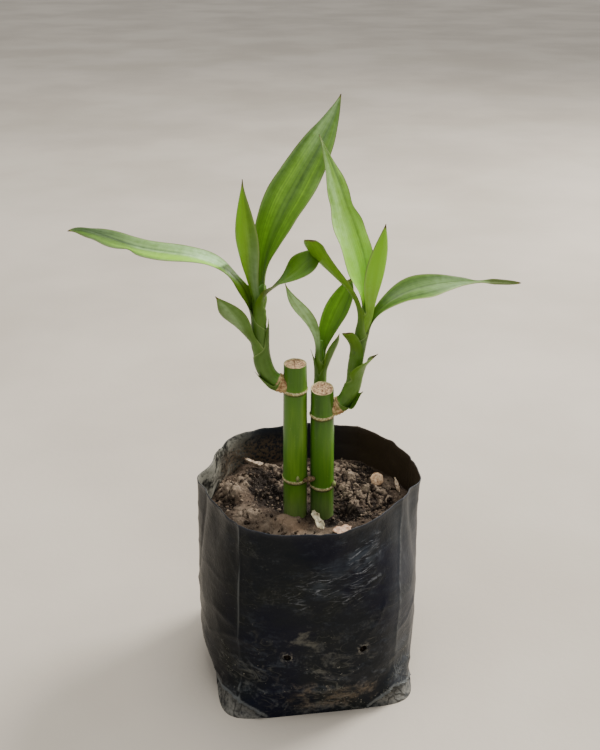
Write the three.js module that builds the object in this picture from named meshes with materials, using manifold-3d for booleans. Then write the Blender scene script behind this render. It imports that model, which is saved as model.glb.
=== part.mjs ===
// A potted lucky bamboo: two cut canes with leafy side shoots, in soil, in a black film grow bag.
// Millimetres, +Z up. The origin is the middle of the bag's flat underside, and -Y is the front.

import * as THREE from 'three';
import { mergeVertices } from 'three/addons/utils/BufferGeometryUtils.js';
import Module from 'manifold-3d';

// Gaps
const clearance = 0.3;

// The levels of the soil's top, in its middle and along the film
const soilLevel = 81;
const soilEdgeLevel = 78.5;

// The bag: a film tube 152 mm wide when flat, opened to a round mouth over a squarer base
const bagHeight = 97;
const filmThickness = 1;
const mouthRadii = [
  49.7, 50.1, 50.5, 52.4, 52.9, 50.0, 49.4, 48.8, 49.9, 51.5, 47.6, 44.8,
  49.2, 46.1, 45.1, 46.0, 46.6, 46.1, 45.2, 44.9, 43.6, 42.5, 42.7, 44.8,
];
const bodyHalfWidth = 50.3;
const bodyHalfDepth = 46.5;
const bodySquareness = 2.3;
const baseHalfWidth = 45.5;
const baseHalfDepth = 44.5;
const baseSquareness = 5;
const baseTurn = 7.6;
const baseEaseHeight = 20;
const mouthEaseStart = 45;
const earHeight = 10;
const earTuck = 1.6;
const bagSides = 40;
const bagLevels = [0, 2.5, 6, 12, 20, 34, 50, 64, soilEdgeLevel, 89, bagHeight];
const drainHoleDiameter = 3.6;
const drainHoles = [
  { angle: 259, height: 34 }, { angle: 299, height: 36.5 },
  { angle: 186, height: 22 }, { angle: 354, height: 28 },
  { angle: 62, height: 36 }, { angle: 112, height: 32 },
];

// Clods and hollows on the soil
const clods = [
  { x: -24, y: -8, radius: 13, height: 3 },
  { x: -28, y: 30, radius: 15, height: 2.4 },
  { x: 26, y: -14, radius: 12, height: 2.2 },
  { x: 22, y: 8, radius: 13, height: 1.8 },
  { x: 41, y: 9, radius: 11, height: 3 },
  { x: 0, y: 28, radius: 16, height: 1.5 },
  { x: -14, y: -24, radius: 11, height: -1.2 },
  { x: -35, y: 15, radius: 9, height: 2.6 },
  { x: -21, y: 19, radius: 7, height: -2.8 },
  { x: -15, y: 3, radius: 7, height: -2.8 },
  { x: -12, y: 16, radius: 7.5, height: 2.4 },
  { x: -37, y: 3, radius: 7, height: -3.4 },
  { x: -37, y: 34, radius: 6, height: -2.2 },
  { x: -14, y: 41, radius: 7, height: -2.4 },
  { x: 16, y: 37, radius: 7.5, height: 2.2 },
  { x: 18, y: 22, radius: 9, height: 2.2 },
  { x: 28, y: 9, radius: 6.5, height: 1.6 },
  { x: 34, y: 34, radius: 7, height: -2.6 },
  { x: 21, y: 1, radius: 7, height: 2 },
  { x: 17, y: -8, radius: 5.5, height: -2.2 },
  { x: 10, y: 12, radius: 6.5, height: -1.8 },
  { x: -1, y: 15, radius: 7, height: 1.6 },
  { x: -9, y: -15.5, radius: 6, height: 1.6 },
  { x: -41, y: -7, radius: 6, height: -1.6 },
  { x: 37, y: -20, radius: 7, height: -1.8 },
];

// The canes
const caneSink = 11;
const caneSides = 18;
const ringHeight = 1.1;
const ringSlant = 0.4;
const canePlans = {
  cane_left: {
    x: -5.7, y: -5, top: 155, topTilt: 3, leanX: 0.2,
    footRadius: 5.1, middleRadius: 5.35, topRadius: 4.85,
    rings: [100.3, 143.5], ringRadius: 5.75,
    buds: [
      { at: [-4.5, -10.4, 102.2], half: [0.8, 0.9, 1.5], turn: 0 },
      { at: [0.6, -9.8, 101.2], half: [3.4, 1.3, 1.2], turn: -14 },
    ],
  },
  cane_right: {
    x: 6.4, y: -5, top: 143.4, topTilt: 11, leanX: -0.5,
    footRadius: 5.05, middleRadius: 5.25, topRadius: 4.9,
    rings: [96.9, 131.7], ringRadius: 5.75,
    buds: [{ at: [11.3, -8, 98.3], half: [1, 1, 1.4], turn: 0 }],
  },
};

// The shoots: each leaves a cane's upper ring. Angles in degrees are spread evenly from foot to tip.
const shootSides = 12;
const shootPlans = {
  left: {
    cane: 'cane_left', foot: [-10.6, -5, 145.8], length: 46,
    heading: [180], rise: [8, 137, 58, 110], radius: [3.6, 3.4, 2.2],
  },
  middle: {
    cane: 'cane_right', foot: [6, 0, 132.4], length: 29,
    heading: [108, 31], rise: [9, 94, 106, 82], radius: [2.6, 2.4, 1.6],
  },
  right: {
    cane: 'cane_right', foot: [11.6, -4, 134.4], length: 51,
    heading: [0], rise: [23, 140, 48, 88], radius: [3.4, 3.0, 1.9],
  },
};

// The leaves, from the innermost of each shoot outwards. A leaf stands `at` mm up its shoot, on the
// side `side` degrees from +X. Its line is set by its length, heading and rise, its blade by width,
// widest place and roll, and its channel by the half angle it folds through at the foot and further on.
const leafAcross = 4;
const leafStations = 14;
const leafThickness = 0.9;
const leafTipWidth = 0.5;
const smallLeafLength = 40;
const smallLeafStations = 10;
const smallLeafThickness = 0.6;
const leafPlans = {
  leaf_left_tall: {
    shoot: 'left', at: 43, side: 20, length: 89, width: 18, widest: 0.5, fullness: 2.4,
    heading: [20, 55, 41], rise: [108, 12, 66], roll: [0, 27, 46], fold: [60, 16, 14],
  },
  leaf_left_young: {
    shoot: 'left', at: 41, side: 235, length: 52, width: 10.5, widest: 0.53, fullness: 3.6,
    heading: [235, 238, 241], rise: [73, 83, 92], roll: [0, 5, -4], fold: [60, 30, 20],
  },
  leaf_left_long: {
    shoot: 'left', at: 34, side: 180, length: 90, width: 10, widest: 0.58, fullness: 2,
    heading: [180, 166, 171], rise: [85, 70, -113, 102, -21], roll: [0, -26, -28], fold: [62, 20, 12],
  },
  leaf_left_crossing: {
    shoot: 'left', at: 35, side: -25, length: 41.8, width: 13, widest: 0.62, fullness: 4.6,
    heading: [-25, 4, 59], rise: [126, -14, 59, 17], roll: [0, -14, 41], fold: [65, 25, 15],
  },
  leaf_left_lower: {
    shoot: 'left', at: 23, side: 210, length: 30, width: 10.8, widest: 0.54, fullness: 3.2,
    heading: [210, 234, 209], rise: [56, 60, 50], roll: [0, 30, 40], fold: [70, 30, 15],
  },
  leaf_left_small: {
    shoot: 'left', at: 22, side: -15, length: 11.5, width: 3.6, widest: 0.4, fullness: 3,
    heading: [-15], rise: [88, 90], roll: [0], fold: [45, 40, 30],
  },
  leaf_left_bract: {
    shoot: 'left', at: 4, side: 200, length: 10.5, width: 5, widest: 0.3, fullness: 3,
    heading: [200], rise: [50, 58], roll: [0], fold: [60, 45, 30],
  },
  leaf_middle_tall: {
    shoot: 'middle', at: 26, side: 50, length: 33, width: 12.3, widest: 0.56, fullness: 2,
    heading: [50, 49, 36], rise: [76, 32, 71], roll: [0, -1, 17], fold: [60, 18, 12],
  },
  leaf_middle_left: {
    shoot: 'middle', at: 24, side: 200, length: 41, width: 8.9, widest: 0.58, fullness: 3.5,
    heading: [200, 228, 213], rise: [104, 25, 72], roll: [0, 33, 4], fold: [60, 25, 15],
  },
  leaf_middle_right: {
    shoot: 'middle', at: 17, side: -35, length: 21, width: 7, widest: 0.53, fullness: 3.8,
    heading: [-35, -23, -61], rise: [72, 68], roll: [0], fold: [60, 35, 25],
  },
  leaf_middle_bract: {
    shoot: 'middle', at: 17, side: 200, length: 11, width: 2.5, widest: 0.3, fullness: 3,
    heading: [200], rise: [88, 70], roll: [0], fold: [45, 40, 30],
  },
  leaf_right_tall: {
    shoot: 'right', at: 49, side: 150, length: 70, width: 16, widest: 0.37, fullness: 2.1,
    heading: [150, 143, 156], rise: [91, 49, 84, 65], roll: [0, -29, -15], fold: [55, 18, 12],
  },
  leaf_right_young: {
    shoot: 'right', at: 47, side: -60, length: 39, width: 9.4, widest: 0.5, fullness: 2.4,
    heading: [-60, -43, -41], rise: [83, 77, 82], roll: [0, -16, -15], fold: [50, 30, 20],
  },
  leaf_right_long: {
    shoot: 'right', at: 38, side: 15, length: 76, width: 12, widest: 0.39, fullness: 6.8,
    heading: [15, 50, -17], rise: [87, -32, 24, -21, 5], roll: [0, 40, 50], fold: [55, 20, 12],
  },
  leaf_right_narrow: {
    shoot: 'right', at: 40, side: 215, length: 48, width: 11.5, widest: 0.76, fullness: 1.35,
    heading: [215, 208, 203], rise: [100, 7, 73], roll: [0, -6, 30], fold: [60, 40, 30],
  },
  leaf_right_cut: {
    shoot: 'right', at: 26, side: 225, length: 14.7, width: 8, widest: 0.57, fullness: 3.4,
    heading: [225], rise: [135, 36, 60], roll: [0], fold: [60, 40, 20], blunt: 3,
  },
  leaf_right_lower: {
    shoot: 'right', at: 17, side: -5, length: 11.5, width: 8.5, widest: 0.35, fullness: 3,
    heading: [-5], rise: [70, 60, 40], roll: [20], fold: [60, 40, 30],
  },
  leaf_right_bract: {
    shoot: 'right', at: 5, side: -25, length: 9, width: 8, widest: 0.3, fullness: 3,
    heading: [-10], rise: [62, 49], roll: [30], fold: [60, 45, 30],
  },
};

// Bits lying on the soil: half sizes along their own length, width and height, then place and turn
const bitPlans = {
  bit_curled_chip: { half: [4.8, 2.1, 0.9], at: [4.3, -15.6, 84], turn: [15, 26, -65], tone: 0xb0a089 },
  bit_flat_chip: { half: [3.9, 2.7, 0.7], at: [15.2, -20, 81.8], turn: [12, 4, 25], tone: 0xb89a8b },
  bit_round_chip: { half: [3.1, 3, 1.3], at: [32.8, 20.5, 83], turn: [35, 0, 0], tone: 0xb08c70 },
  bit_root: { half: [4.4, 1.3, 1.2], at: [-25.8, 33, 84], turn: [0, 4, -32], tone: 0xa58f78 },
  bit_stick: { half: [5.2, 1, 0.9], at: [41.8, 13, 83.6], turn: [0, -32, 104], tone: 0xa49482 },
};

// Materials
function finish(color, roughness) {
  return new THREE.MeshStandardMaterial({ color, roughness, metalness: 0, side: THREE.DoubleSide });
}
const filmFinish = finish(0x1f2224, 0.42);
const soilFinish = finish(0x6b5b4c, 0.95);
const caneFinish = finish(0x4f7d22, 0.4);
const shootFinish = finish(0x4a7a24, 0.45);
const leafFinish = finish(0x5c9130, 0.45);

// Small sums
const radians = THREE.MathUtils.degToRad;
const { lerp, smoothstep } = THREE.MathUtils;

// A smooth run through evenly spread values, as a Bezier curve has it: s is 0 at the first, 1 at the last
function blend(values, s) {
  let row = values;
  while (row.length > 1) {
    row = row.slice(1).map((value, i) => lerp(row[i], value, s));
  }
  return row[0];
}

// Rings of equal length, in order, joined into one closed skin; both ends are rings drawn together
function skin(rings) {
  const positions = [];
  const count = rings[0].length;
  for (let j = 0; j + 1 < rings.length; j += 1) {
    for (let i = 0; i < count; i += 1) {
      const next = (i + 1) % count;
      const [a, b] = [rings[j][i], rings[j][next]];
      const [c, d] = [rings[j + 1][next], rings[j + 1][i]];
      for (const point of [a, b, c, a, c, d]) {
        positions.push(point.x, point.y, point.z);
      }
    }
  }
  const geometry = new THREE.BufferGeometry();
  geometry.setAttribute('position', new THREE.Float32BufferAttribute(positions, 3));
  return geometry;
}

// A ring drawn together at its middle, to close an end
function middleOf(ring) {
  const middle = new THREE.Vector3();
  for (const point of ring) {
    middle.addScaledVector(point, 1 / ring.length);
  }
  return ring.map(() => middle);
}

// Solids: shared corners are merged, empty triangles dropped, and faces turned outwards
const wasm = await Module();
wasm.setup();
const mergeDistance = 1e-4;

function solidOf(geometry) {
  const bare = geometry.clone();
  bare.deleteAttribute('normal');
  bare.deleteAttribute('uv');
  const merged = mergeVertices(bare, mergeDistance);
  const corners = merged.attributes.position.array;
  const triangles = [];
  let volume = 0;
  const point = (k) => new THREE.Vector3().fromArray(corners, 3 * k);
  for (let i = 0; i < merged.index.count; i += 3) {
    const [a, b, c] = [0, 1, 2].map((k) => merged.index.getX(i + k));
    if (a !== b && b !== c && c !== a) {
      triangles.push([a, b, c]);
      volume += point(a).dot(point(b).cross(point(c)));
    }
  }
  const outward = volume < 0 ? triangles.map(([a, b, c]) => [a, c, b]) : triangles;
  return new wasm.Manifold(new wasm.Mesh({
    numProp: 3,
    vertProperties: new Float32Array(corners),
    triVerts: new Uint32Array(outward.flat()),
  }));
}

function geometryOf(solid) {
  const mesh = solid.getMesh();
  const geometry = new THREE.BufferGeometry();
  geometry.setAttribute('position', new THREE.BufferAttribute(mesh.vertProperties, 3));
  geometry.setIndex(new THREE.BufferAttribute(mesh.triVerts, 1));
  return geometry;
}

// A solid less its neighbours' spaces; only its largest piece is kept
function cutClear(solid, spaces) {
  let left = solid;
  for (const space of spaces) {
    left = left.subtract(space);
  }
  const pieces = left.decompose();
  return pieces.sort((a, b) => b.volume() - a.volume())[0];
}

// The plan and the bag
function superellipse(angle, halfX, halfY, power) {
  const x = Math.abs(Math.cos(angle) / halfX) ** power;
  const y = Math.abs(Math.sin(angle) / halfY) ** power;
  return (x + y) ** (-1 / power);
}

function mouthRadius(angle) {
  const count = mouthRadii.length;
  const place = (((angle / (2 * Math.PI)) % 1) + 1) % 1 * count;
  const k = Math.floor(place);
  return lerp(mouthRadii[k % count], mouthRadii[(k + 1) % count], smoothstep(place - k, 0, 1));
}

// The fold over each bottom corner rises towards the middle of the bag's left and right sides
function foldMask(angle) {
  return smoothstep(Math.abs(Math.cos(angle - radians(baseTurn))), 0.45, 0.85);
}

function bagRadius(angle, z) {
  const base = superellipse(angle - radians(baseTurn), baseHalfWidth, baseHalfDepth, baseSquareness);
  const body = superellipse(angle, bodyHalfWidth, bodyHalfDepth, bodySquareness);
  const low = 1 - smoothstep(z, 0, baseEaseHeight);
  const high = smoothstep(z, mouthEaseStart, bagHeight);
  const plain = lerp(lerp(body, base, low), mouthRadius(angle), high);
  const underFold = z / earHeight;
  const tuck = Math.max(0, 1 - Math.abs(underFold - 0.6) / 0.6);
  return plain - earTuck * tuck * foldMask(angle);
}

function bagRing(z, inset) {
  const ring = [];
  for (let i = 0; i < bagSides; i += 1) {
    const angle = (2 * Math.PI * i) / bagSides;
    const radius = bagRadius(angle, z) - inset;
    ring.push(new THREE.Vector3(radius * Math.cos(angle), radius * Math.sin(angle), z));
  }
  return ring;
}

// Pins through the film where the drain holes are punched
function drainPin({ angle, height }) {
  const reach = 20;
  const pin = new THREE.CylinderGeometry(drainHoleDiameter / 2, drainHoleDiameter / 2, reach, 10);
  pin.rotateZ(Math.PI / 2);
  pin.translate(bagRadius(radians(angle), height), 0, 0);
  pin.rotateZ(radians(angle));
  pin.translate(0, 0, height);
  return solidOf(pin);
}

function makeBag() {
  const outside = bagLevels.map((z) => bagRing(z, 0));
  const insideLevels = bagLevels.map((z, i) => (i === 0 ? filmThickness : z));
  const inside = insideLevels.map((z) => bagRing(z, filmThickness)).reverse();
  const rings = [middleOf(outside[0]), ...outside, ...inside, middleOf(inside.at(-1))];
  return cutClear(solidOf(skin(rings)), drainHoles.map(drainPin));
}

// The soil's top, lower along the wall and with rounded clods
function soilHeight(x, y) {
  const out = Math.hypot(x, y) / bodyHalfDepth;
  let z = lerp(soilLevel, soilEdgeLevel, smoothstep(out, 0.75, 1.05));
  for (const clod of clods) {
    const away = Math.hypot(x - clod.x, y - clod.y) / clod.radius;
    z += clod.height * Math.max(0, 1 - away * away);
  }
  return z;
}

function makeSoil(spaces) {
  const inset = filmThickness + clearance;
  const levels = bagLevels.filter((z) => z > 0 && z <= soilEdgeLevel);
  const underside = bagRing(filmThickness + clearance, inset);
  const walls = [underside, ...levels.map((z) => bagRing(z, inset))];
  const shares = [0.96, 0.89, 0.81, 0.73, 0.65, 0.57, 0.49, 0.41, 0.33, 0.25, 0.17, 0.09];
  const top = shares.map((share) => walls.at(-1).map(({ x, y }) => (
    new THREE.Vector3(x * share, y * share, soilHeight(x * share, y * share))
  )));
  // From the top down, so that its facets lie like those of the bag's inside
  const rings = [...walls, ...top].reverse();
  return cutClear(solidOf(skin([middleOf(rings[0]), ...rings, middleOf(underside)])), spaces);
}

// A cane: a round stem that swells a little between its rings, with a flat foot and a cut top
function caneRadius(plan, z) {
  const foot = soilLevel - caneSink;
  const share = (z - foot) / (plan.top - foot);
  return blend([plan.footRadius, plan.middleRadius, plan.middleRadius, plan.topRadius], share);
}

function caneRing(plan, z, radius, slant) {
  const ring = [];
  const foot = soilLevel - caneSink;
  const shift = plan.leanX * ((z - foot) / (plan.top - foot));
  for (let i = 0; i < caneSides; i += 1) {
    const angle = (2 * Math.PI * i) / caneSides;
    const [x, y] = [radius * Math.cos(angle), radius * Math.sin(angle)];
    ring.push(new THREE.Vector3(plan.x + shift + x, plan.y + y, z + slant * (y / radius)));
  }
  return ring;
}

function caneGeometry(plan, grow) {
  const foot = soilLevel - caneSink;
  const rings = [caneRing(plan, foot - grow, caneRadius(plan, foot) + grow, 0)];
  const step = (z) => rings.push(caneRing(plan, z, caneRadius(plan, z) + grow, 0));
  step(soilLevel);
  for (const level of plan.rings) {
    const plain = caneRadius(plan, level) + grow;
    rings.push(caneRing(plan, level - ringHeight, plain, ringSlant));
    rings.push(caneRing(plan, level - ringHeight / 3, plan.ringRadius + grow, ringSlant));
    rings.push(caneRing(plan, level + ringHeight / 3, plan.ringRadius + grow, ringSlant));
    rings.push(caneRing(plan, level + ringHeight, plain, ringSlant));
    step(level + 6);
  }
  const tilt = Math.tan(radians(plan.topTilt)) * plan.topRadius;
  rings.push(caneRing(plan, plan.top + grow, plan.topRadius + grow, tilt));
  return skin([middleOf(rings[0]), ...rings, middleOf(rings.at(-1))]);
}

// Resting buds on a cane's rings
function budSolids(plan) {
  return plan.buds.map(({ at, half, turn }) => {
    const bud = new THREE.SphereGeometry(1, 8, 6);
    bud.scale(...half);
    bud.rotateZ(radians(turn));
    bud.translate(...at);
    return solidOf(bud);
  });
}

// A line that grows from its foot by short straight steps; each takes its heading and rise from the plan
const lineSteps = 60;

function growLine(foot, plan) {
  const points = [foot];
  const directions = [];
  for (let i = 0; i < lineSteps; i += 1) {
    const s = (i + 0.5) / lineSteps;
    const heading = radians(blend(plan.heading, s));
    const rise = radians(blend(plan.rise, s));
    const direction = new THREE.Vector3(
      Math.cos(rise) * Math.cos(heading),
      Math.cos(rise) * Math.sin(heading),
      Math.sin(rise),
    );
    directions.push(direction);
    points.push(points[i].clone().addScaledVector(direction, plan.length / lineSteps));
  }
  directions.push(directions.at(-1));
  return { points, directions };
}

// A shoot: a round limb that tapers along its line
const shootLines = {};
for (const [name, plan] of Object.entries(shootPlans)) {
  shootLines[name] = growLine(new THREE.Vector3(...plan.foot), plan);
}

function shootGeometry(name, grow) {
  const plan = shootPlans[name];
  const { points, directions } = shootLines[name];
  const stations = 12;
  const rings = [];
  for (let j = 0; j <= stations; j += 1) {
    const k = Math.round((j / stations) * lineSteps);
    const end = (j === stations ? grow : 0) - (j === 0 ? grow : 0);
    const middle = points[k].clone().addScaledVector(directions[k], end);
    const radius = blend(plan.radius, j / stations) + grow;
    const across = new THREE.Vector3(0, 1, 0).addScaledVector(directions[k], -directions[k].y).normalize();
    const up = new THREE.Vector3().crossVectors(directions[k], across);
    const ring = [];
    for (let i = 0; i < shootSides; i += 1) {
      const angle = (2 * Math.PI * i) / shootSides;
      ring.push(middle.clone()
        .addScaledVector(across, radius * Math.cos(angle))
        .addScaledVector(up, radius * Math.sin(angle)));
    }
    rings.push(ring);
  }
  return skin([middleOf(rings[0]), ...rings, middleOf(rings.at(-1))]);
}

// The foot of a leaf lies on its shoot's skin, on the side it grows to
function leafFoot(plan, thickness) {
  const shoot = shootPlans[plan.shoot];
  const line = shootLines[plan.shoot];
  const k = Math.round((plan.at / shoot.length) * lineSteps);
  const radius = blend(shoot.radius, plan.at / shoot.length) + clearance + thickness / 2;
  const side = radians(plan.side);
  const out = new THREE.Vector3(Math.cos(side), Math.sin(side), 0);
  out.addScaledVector(line.directions[k], -out.dot(line.directions[k])).normalize();
  return { point: line.points[k].clone().addScaledVector(out, radius), radius };
}

// Breadth of a blade, measured flat: it opens from the foot's channel, is widest at its place, and
// runs out to a long point. A blunt leaf keeps some breadth at its end.
function bladeWidth(plan, footWidth, s) {
  const rise = plan.fullness * plan.widest;
  const fall = plan.fullness * (1 - plan.widest);
  const shape = (s / plan.widest) ** rise * ((1 - s) / (1 - plan.widest)) ** fall;
  const tip = plan.blunt ?? leafTipWidth;
  return footWidth * (1 - s) ** 4 + plan.width * shape + tip * s;
}

// A leaf: its line carries a section that is an arc, folded at the foot and nearly flat further on
function leafGeometry(name, grow) {
  const plan = leafPlans[name];
  const small = plan.length < smallLeafLength;
  const thick = small ? smallLeafThickness : leafThickness;
  const stations = small ? smallLeafStations : leafStations;
  const { point, radius } = leafFoot(plan, thick);
  const { points, directions } = growLine(point, plan);
  const footWidth = 2 * radius * radians(plan.fold[0]);
  const rings = [];
  for (let j = 0; j <= stations; j += 1) {
    const s = j / stations;
    const k = Math.round(s * lineSteps);
    const heading = radians(blend(plan.heading, s));
    const rise = radians(blend(plan.rise, s));
    const roll = radians(blend(plan.roll, s));
    const inward = new THREE.Vector3(
      -Math.sin(rise) * Math.cos(heading),
      -Math.sin(rise) * Math.sin(heading),
      Math.cos(rise),
    );
    const level = new THREE.Vector3(Math.sin(heading), -Math.cos(heading), 0);
    const face = inward.clone().multiplyScalar(Math.cos(roll)).addScaledVector(level, Math.sin(roll));
    const across = level.clone().multiplyScalar(Math.cos(roll)).addScaledVector(inward, -Math.sin(roll));
    const fold = radians(blend([plan.fold[0], plan.fold[1], plan.fold[2], plan.fold[2]], s));
    const half = bladeWidth(plan, footWidth, s) / 2 + grow;
    const bend = half / fold;
    const end = (j === stations ? grow : 0) - (j === 0 ? grow : 0);
    const middle = points[k].clone().addScaledVector(directions[k], end);
    const sheet = (offset) => {
      const row = [];
      for (let i = 0; i <= leafAcross; i += 1) {
        const turn = fold * (2 * (i / leafAcross) - 1);
        row.push(middle.clone()
          .addScaledVector(across, (bend - offset) * Math.sin(turn))
          .addScaledVector(face, bend - (bend - offset) * Math.cos(turn)));
      }
      return row;
    };
    const outer = -thick / 2 - grow;
    const ring = (low, high) => [...sheet(low), ...sheet(high).reverse()];
    if (j === 0) rings.push(ring(0, 0));
    rings.push(ring(outer, -outer));
    if (j === stations) rings.push(ring(0, 0));
  }
  return skin(rings);
}

// Bits on the soil: rounded flakes
function bitSolid(name, grow) {
  const { half, at, turn } = bitPlans[name];
  const bit = new THREE.SphereGeometry(1, 10, 6);
  bit.scale(half[0] + grow, half[1] + grow, half[2] + grow);
  bit.applyMatrix4(new THREE.Matrix4().makeRotationFromEuler(new THREE.Euler(...turn.map(radians), 'ZYX')));
  bit.translate(...at);
  return solidOf(bit);
}

// Putting the plant together
const plant = new THREE.Group();

function add(name, solid, material) {
  const mesh = new THREE.Mesh(geometryOf(solid), material);
  mesh.name = name;
  plant.add(mesh);
}

const bitNames = Object.keys(bitPlans);
const caneNames = Object.keys(canePlans);
const caneSpace = (name) => solidOf(caneGeometry(canePlans[name], clearance));
const shootSpace = (name) => solidOf(shootGeometry(name, clearance));
const leafSpace = (name) => solidOf(leafGeometry(name, clearance));
const bitSpaces = bitNames.map((name) => bitSolid(name, clearance));
const caneSpaces = caneNames.map(caneSpace);

add('grow_bag', makeBag(), filmFinish);
add('soil', makeSoil([...caneSpaces, ...bitSpaces]), soilFinish);
for (const name of bitNames) {
  add(name, cutClear(bitSolid(name, 0), caneSpaces), finish(bitPlans[name].tone, 0.9));
}
for (const [name, plan] of Object.entries(canePlans)) {
  const whole = budSolids(plan).reduce((cane, bud) => cane.add(bud), solidOf(caneGeometry(plan, 0)));
  const others = caneNames.filter((other) => other !== name).map(caneSpace);
  add(name, cutClear(whole, others), caneFinish);
}
for (const [name, plan] of Object.entries(shootPlans)) {
  add(`shoot_${name}`, cutClear(solidOf(shootGeometry(name, 0)), [caneSpace(plan.cane)]), shootFinish);
}
const placed = [];
for (const [name, plan] of Object.entries(leafPlans)) {
  const neighbours = placed.filter((other) => leafPlans[other].shoot === plan.shoot);
  const spaces = [shootSpace(plan.shoot), ...neighbours.map(leafSpace)];
  add(name, cutClear(solidOf(leafGeometry(name, 0)), spaces), leafFinish);
  placed.push(name);
}

export default plant;
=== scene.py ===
# Potted lucky bamboo: two cut canes with leafy shoots, in soil, in a black film grow bag.
# Metres, +Z up, -Y is the front. Plans are in millimetres, and mm turns them to metres.

import math

import bmesh
import bpy
import numpy as np
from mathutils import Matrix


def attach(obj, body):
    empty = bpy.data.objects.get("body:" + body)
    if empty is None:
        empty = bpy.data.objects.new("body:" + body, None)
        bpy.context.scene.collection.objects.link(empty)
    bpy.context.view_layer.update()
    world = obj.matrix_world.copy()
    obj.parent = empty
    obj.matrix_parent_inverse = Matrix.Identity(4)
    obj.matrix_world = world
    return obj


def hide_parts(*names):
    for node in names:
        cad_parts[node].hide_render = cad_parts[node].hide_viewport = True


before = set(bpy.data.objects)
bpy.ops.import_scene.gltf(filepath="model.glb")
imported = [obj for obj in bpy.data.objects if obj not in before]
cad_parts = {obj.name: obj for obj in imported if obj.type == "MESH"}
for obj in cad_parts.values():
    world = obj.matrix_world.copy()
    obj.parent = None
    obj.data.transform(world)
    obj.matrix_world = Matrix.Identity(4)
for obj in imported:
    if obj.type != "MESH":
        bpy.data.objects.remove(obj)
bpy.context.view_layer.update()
mm = 0.001


# The view, in metres
viewPlan = {
    "place": (-0.0035, -0.364, 0.321),
    "down": 25.5,     # degrees under the horizon
    "lens": 45.6,
    "near": 0.01,
}


def newObject(name, data):
    made = bpy.data.objects.new(name, data)
    bpy.context.scene.collection.objects.link(made)
    return made


def makeCamera(plan):
    camera = newObject("viewer", bpy.data.cameras.new("viewer"))
    camera.location = plan["place"]
    camera.rotation_euler = (math.radians(90 - plan["down"]), 0, 0)
    camera.data.lens = plan["lens"]
    camera.data.clip_start = plan["near"]
    bpy.context.scene.camera = camera


makeCamera(viewPlan)
print("view ready")


# Sums on arrays
def shade(red, green, blue):
    # a colour as a screen shows it, 0 to 255, as the linear values that shaders take
    values = np.array([red, green, blue]) / 255
    linear = np.where(values <= 0.04045, values / 12.92, ((values + 0.055) / 1.055) ** 2.4)
    return (*linear.tolist(), 1.0)


def easeUp(x, low, high):
    # 0 at low and 1 at high, by 3t^2 - 2t^3 between; low may be the larger
    t = np.clip((x - low) / (high - low), 0, 1)
    return t * t * (3 - 2 * t)


def bell(x, wide):
    # exp(-(x/wide)^2)
    return np.exp(-(x / wide) ** 2)


def blendRun(values, s):
    # a Bezier curve with these evenly spread handles, read at share s
    row = [np.full_like(s, float(value)) for value in values]
    while len(row) > 1:
        row = [a * (1 - s) + b * s for a, b in zip(row, row[1:])]
    return row[0]


def unit(rows):
    return rows / np.linalg.norm(rows, axis=-1, keepdims=True)


def grid(rows, columns):
    # two tables, of the rows and of the columns, kept under names like ss, tt and aa
    return np.meshgrid(rows, columns, indexing="ij")


def turnsOf(count):
    return np.linspace(0, 2 * np.pi, count, endpoint=False)


def ringed(radius, angle, z):
    # points at a radius and an angle round the upright axis
    return np.stack([radius * np.cos(angle), radius * np.sin(angle), z], -1)


def turnedBy(points, turns):
    # about X, then Y, then Z, in degrees
    for axis, degrees in enumerate(turns):
        c, s = math.cos(math.radians(degrees)), math.sin(math.radians(degrees))
        pair = [(axis + 1) % 3, (axis + 2) % 3]
        points[..., pair] = points[..., pair] @ [[c, s], [-s, c]]
    return points


def patches(away, spots):
    # soft round patches, strength times exp(-(away/reach)^2), added; away gives the distance to a spot
    return sum(strength * bell(away(x, y), reach) for x, y, reach, strength in spots)


def numberAt(corner, seed):
    # a whole-number hash of a lattice corner and a seed, as a value from 0 to 1
    key = seed * 26544357
    for k, prime in enumerate((73856093, 19349663, 83492791)):
        key = key ^ corner[..., k] * prime
    key = key & 0xFFFFFFFF
    key = ((key ^ (key >> 13)) * 1274126177) & 0xFFFFFFFF
    return ((key ^ (key >> 16)) & 0xFFFF) / 65535


def latticeNoise(points, cell, seed):
    # random numbers on the corners of a cubic lattice, eased between by 3t^2 - 2t^3, from -1 to 1
    place = points / cell
    corner = np.floor(place).astype(np.int64)
    part = easeUp(place - corner, 0, 1)
    total = 0
    for step in np.ndindex(2, 2, 2):
        weight = np.where(step, part, 1 - part).prod(-1)
        total += weight * numberAt(corner + step, seed)
    return 2 * total - 1


def cloud(points, cell, seed, octaves=3):
    # lattice noises added, each half as wide and half as strong as the last
    total = sum(latticeNoise(points, cell / 2 ** k, seed + 7 * k) / 2 ** k for k in range(octaves))
    return total / (2 - 2 ** (1 - octaves))


def pebbled(x, y, cell, seed):
    # one random middle in each square of a grid: distance to the nearest and to the next one, and the
    # nearest one's own random number
    square = np.floor(np.stack([x, y, 0 * x], -1) / cell).astype(np.int64)
    near, nextNear, own = np.full(x.shape, 1e9), np.full(x.shape, 1e9), np.zeros(x.shape)
    for step in np.ndindex(3, 3, 1):
        corner = square + step - [1, 1, 0]
        dx = (corner[..., 0] + 0.1 + 0.8 * numberAt(corner, seed)) * cell - x
        dy = (corner[..., 1] + 0.1 + 0.8 * numberAt(corner, seed + 1)) * cell - y
        away = np.hypot(dx, dy)
        closer = away < near
        nextNear = np.where(closer, near, np.minimum(nextNear, away))
        own = np.where(closer, numberAt(corner, seed + 2), own)
        near = np.where(closer, away, near)
    return near, nextNear, own


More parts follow.
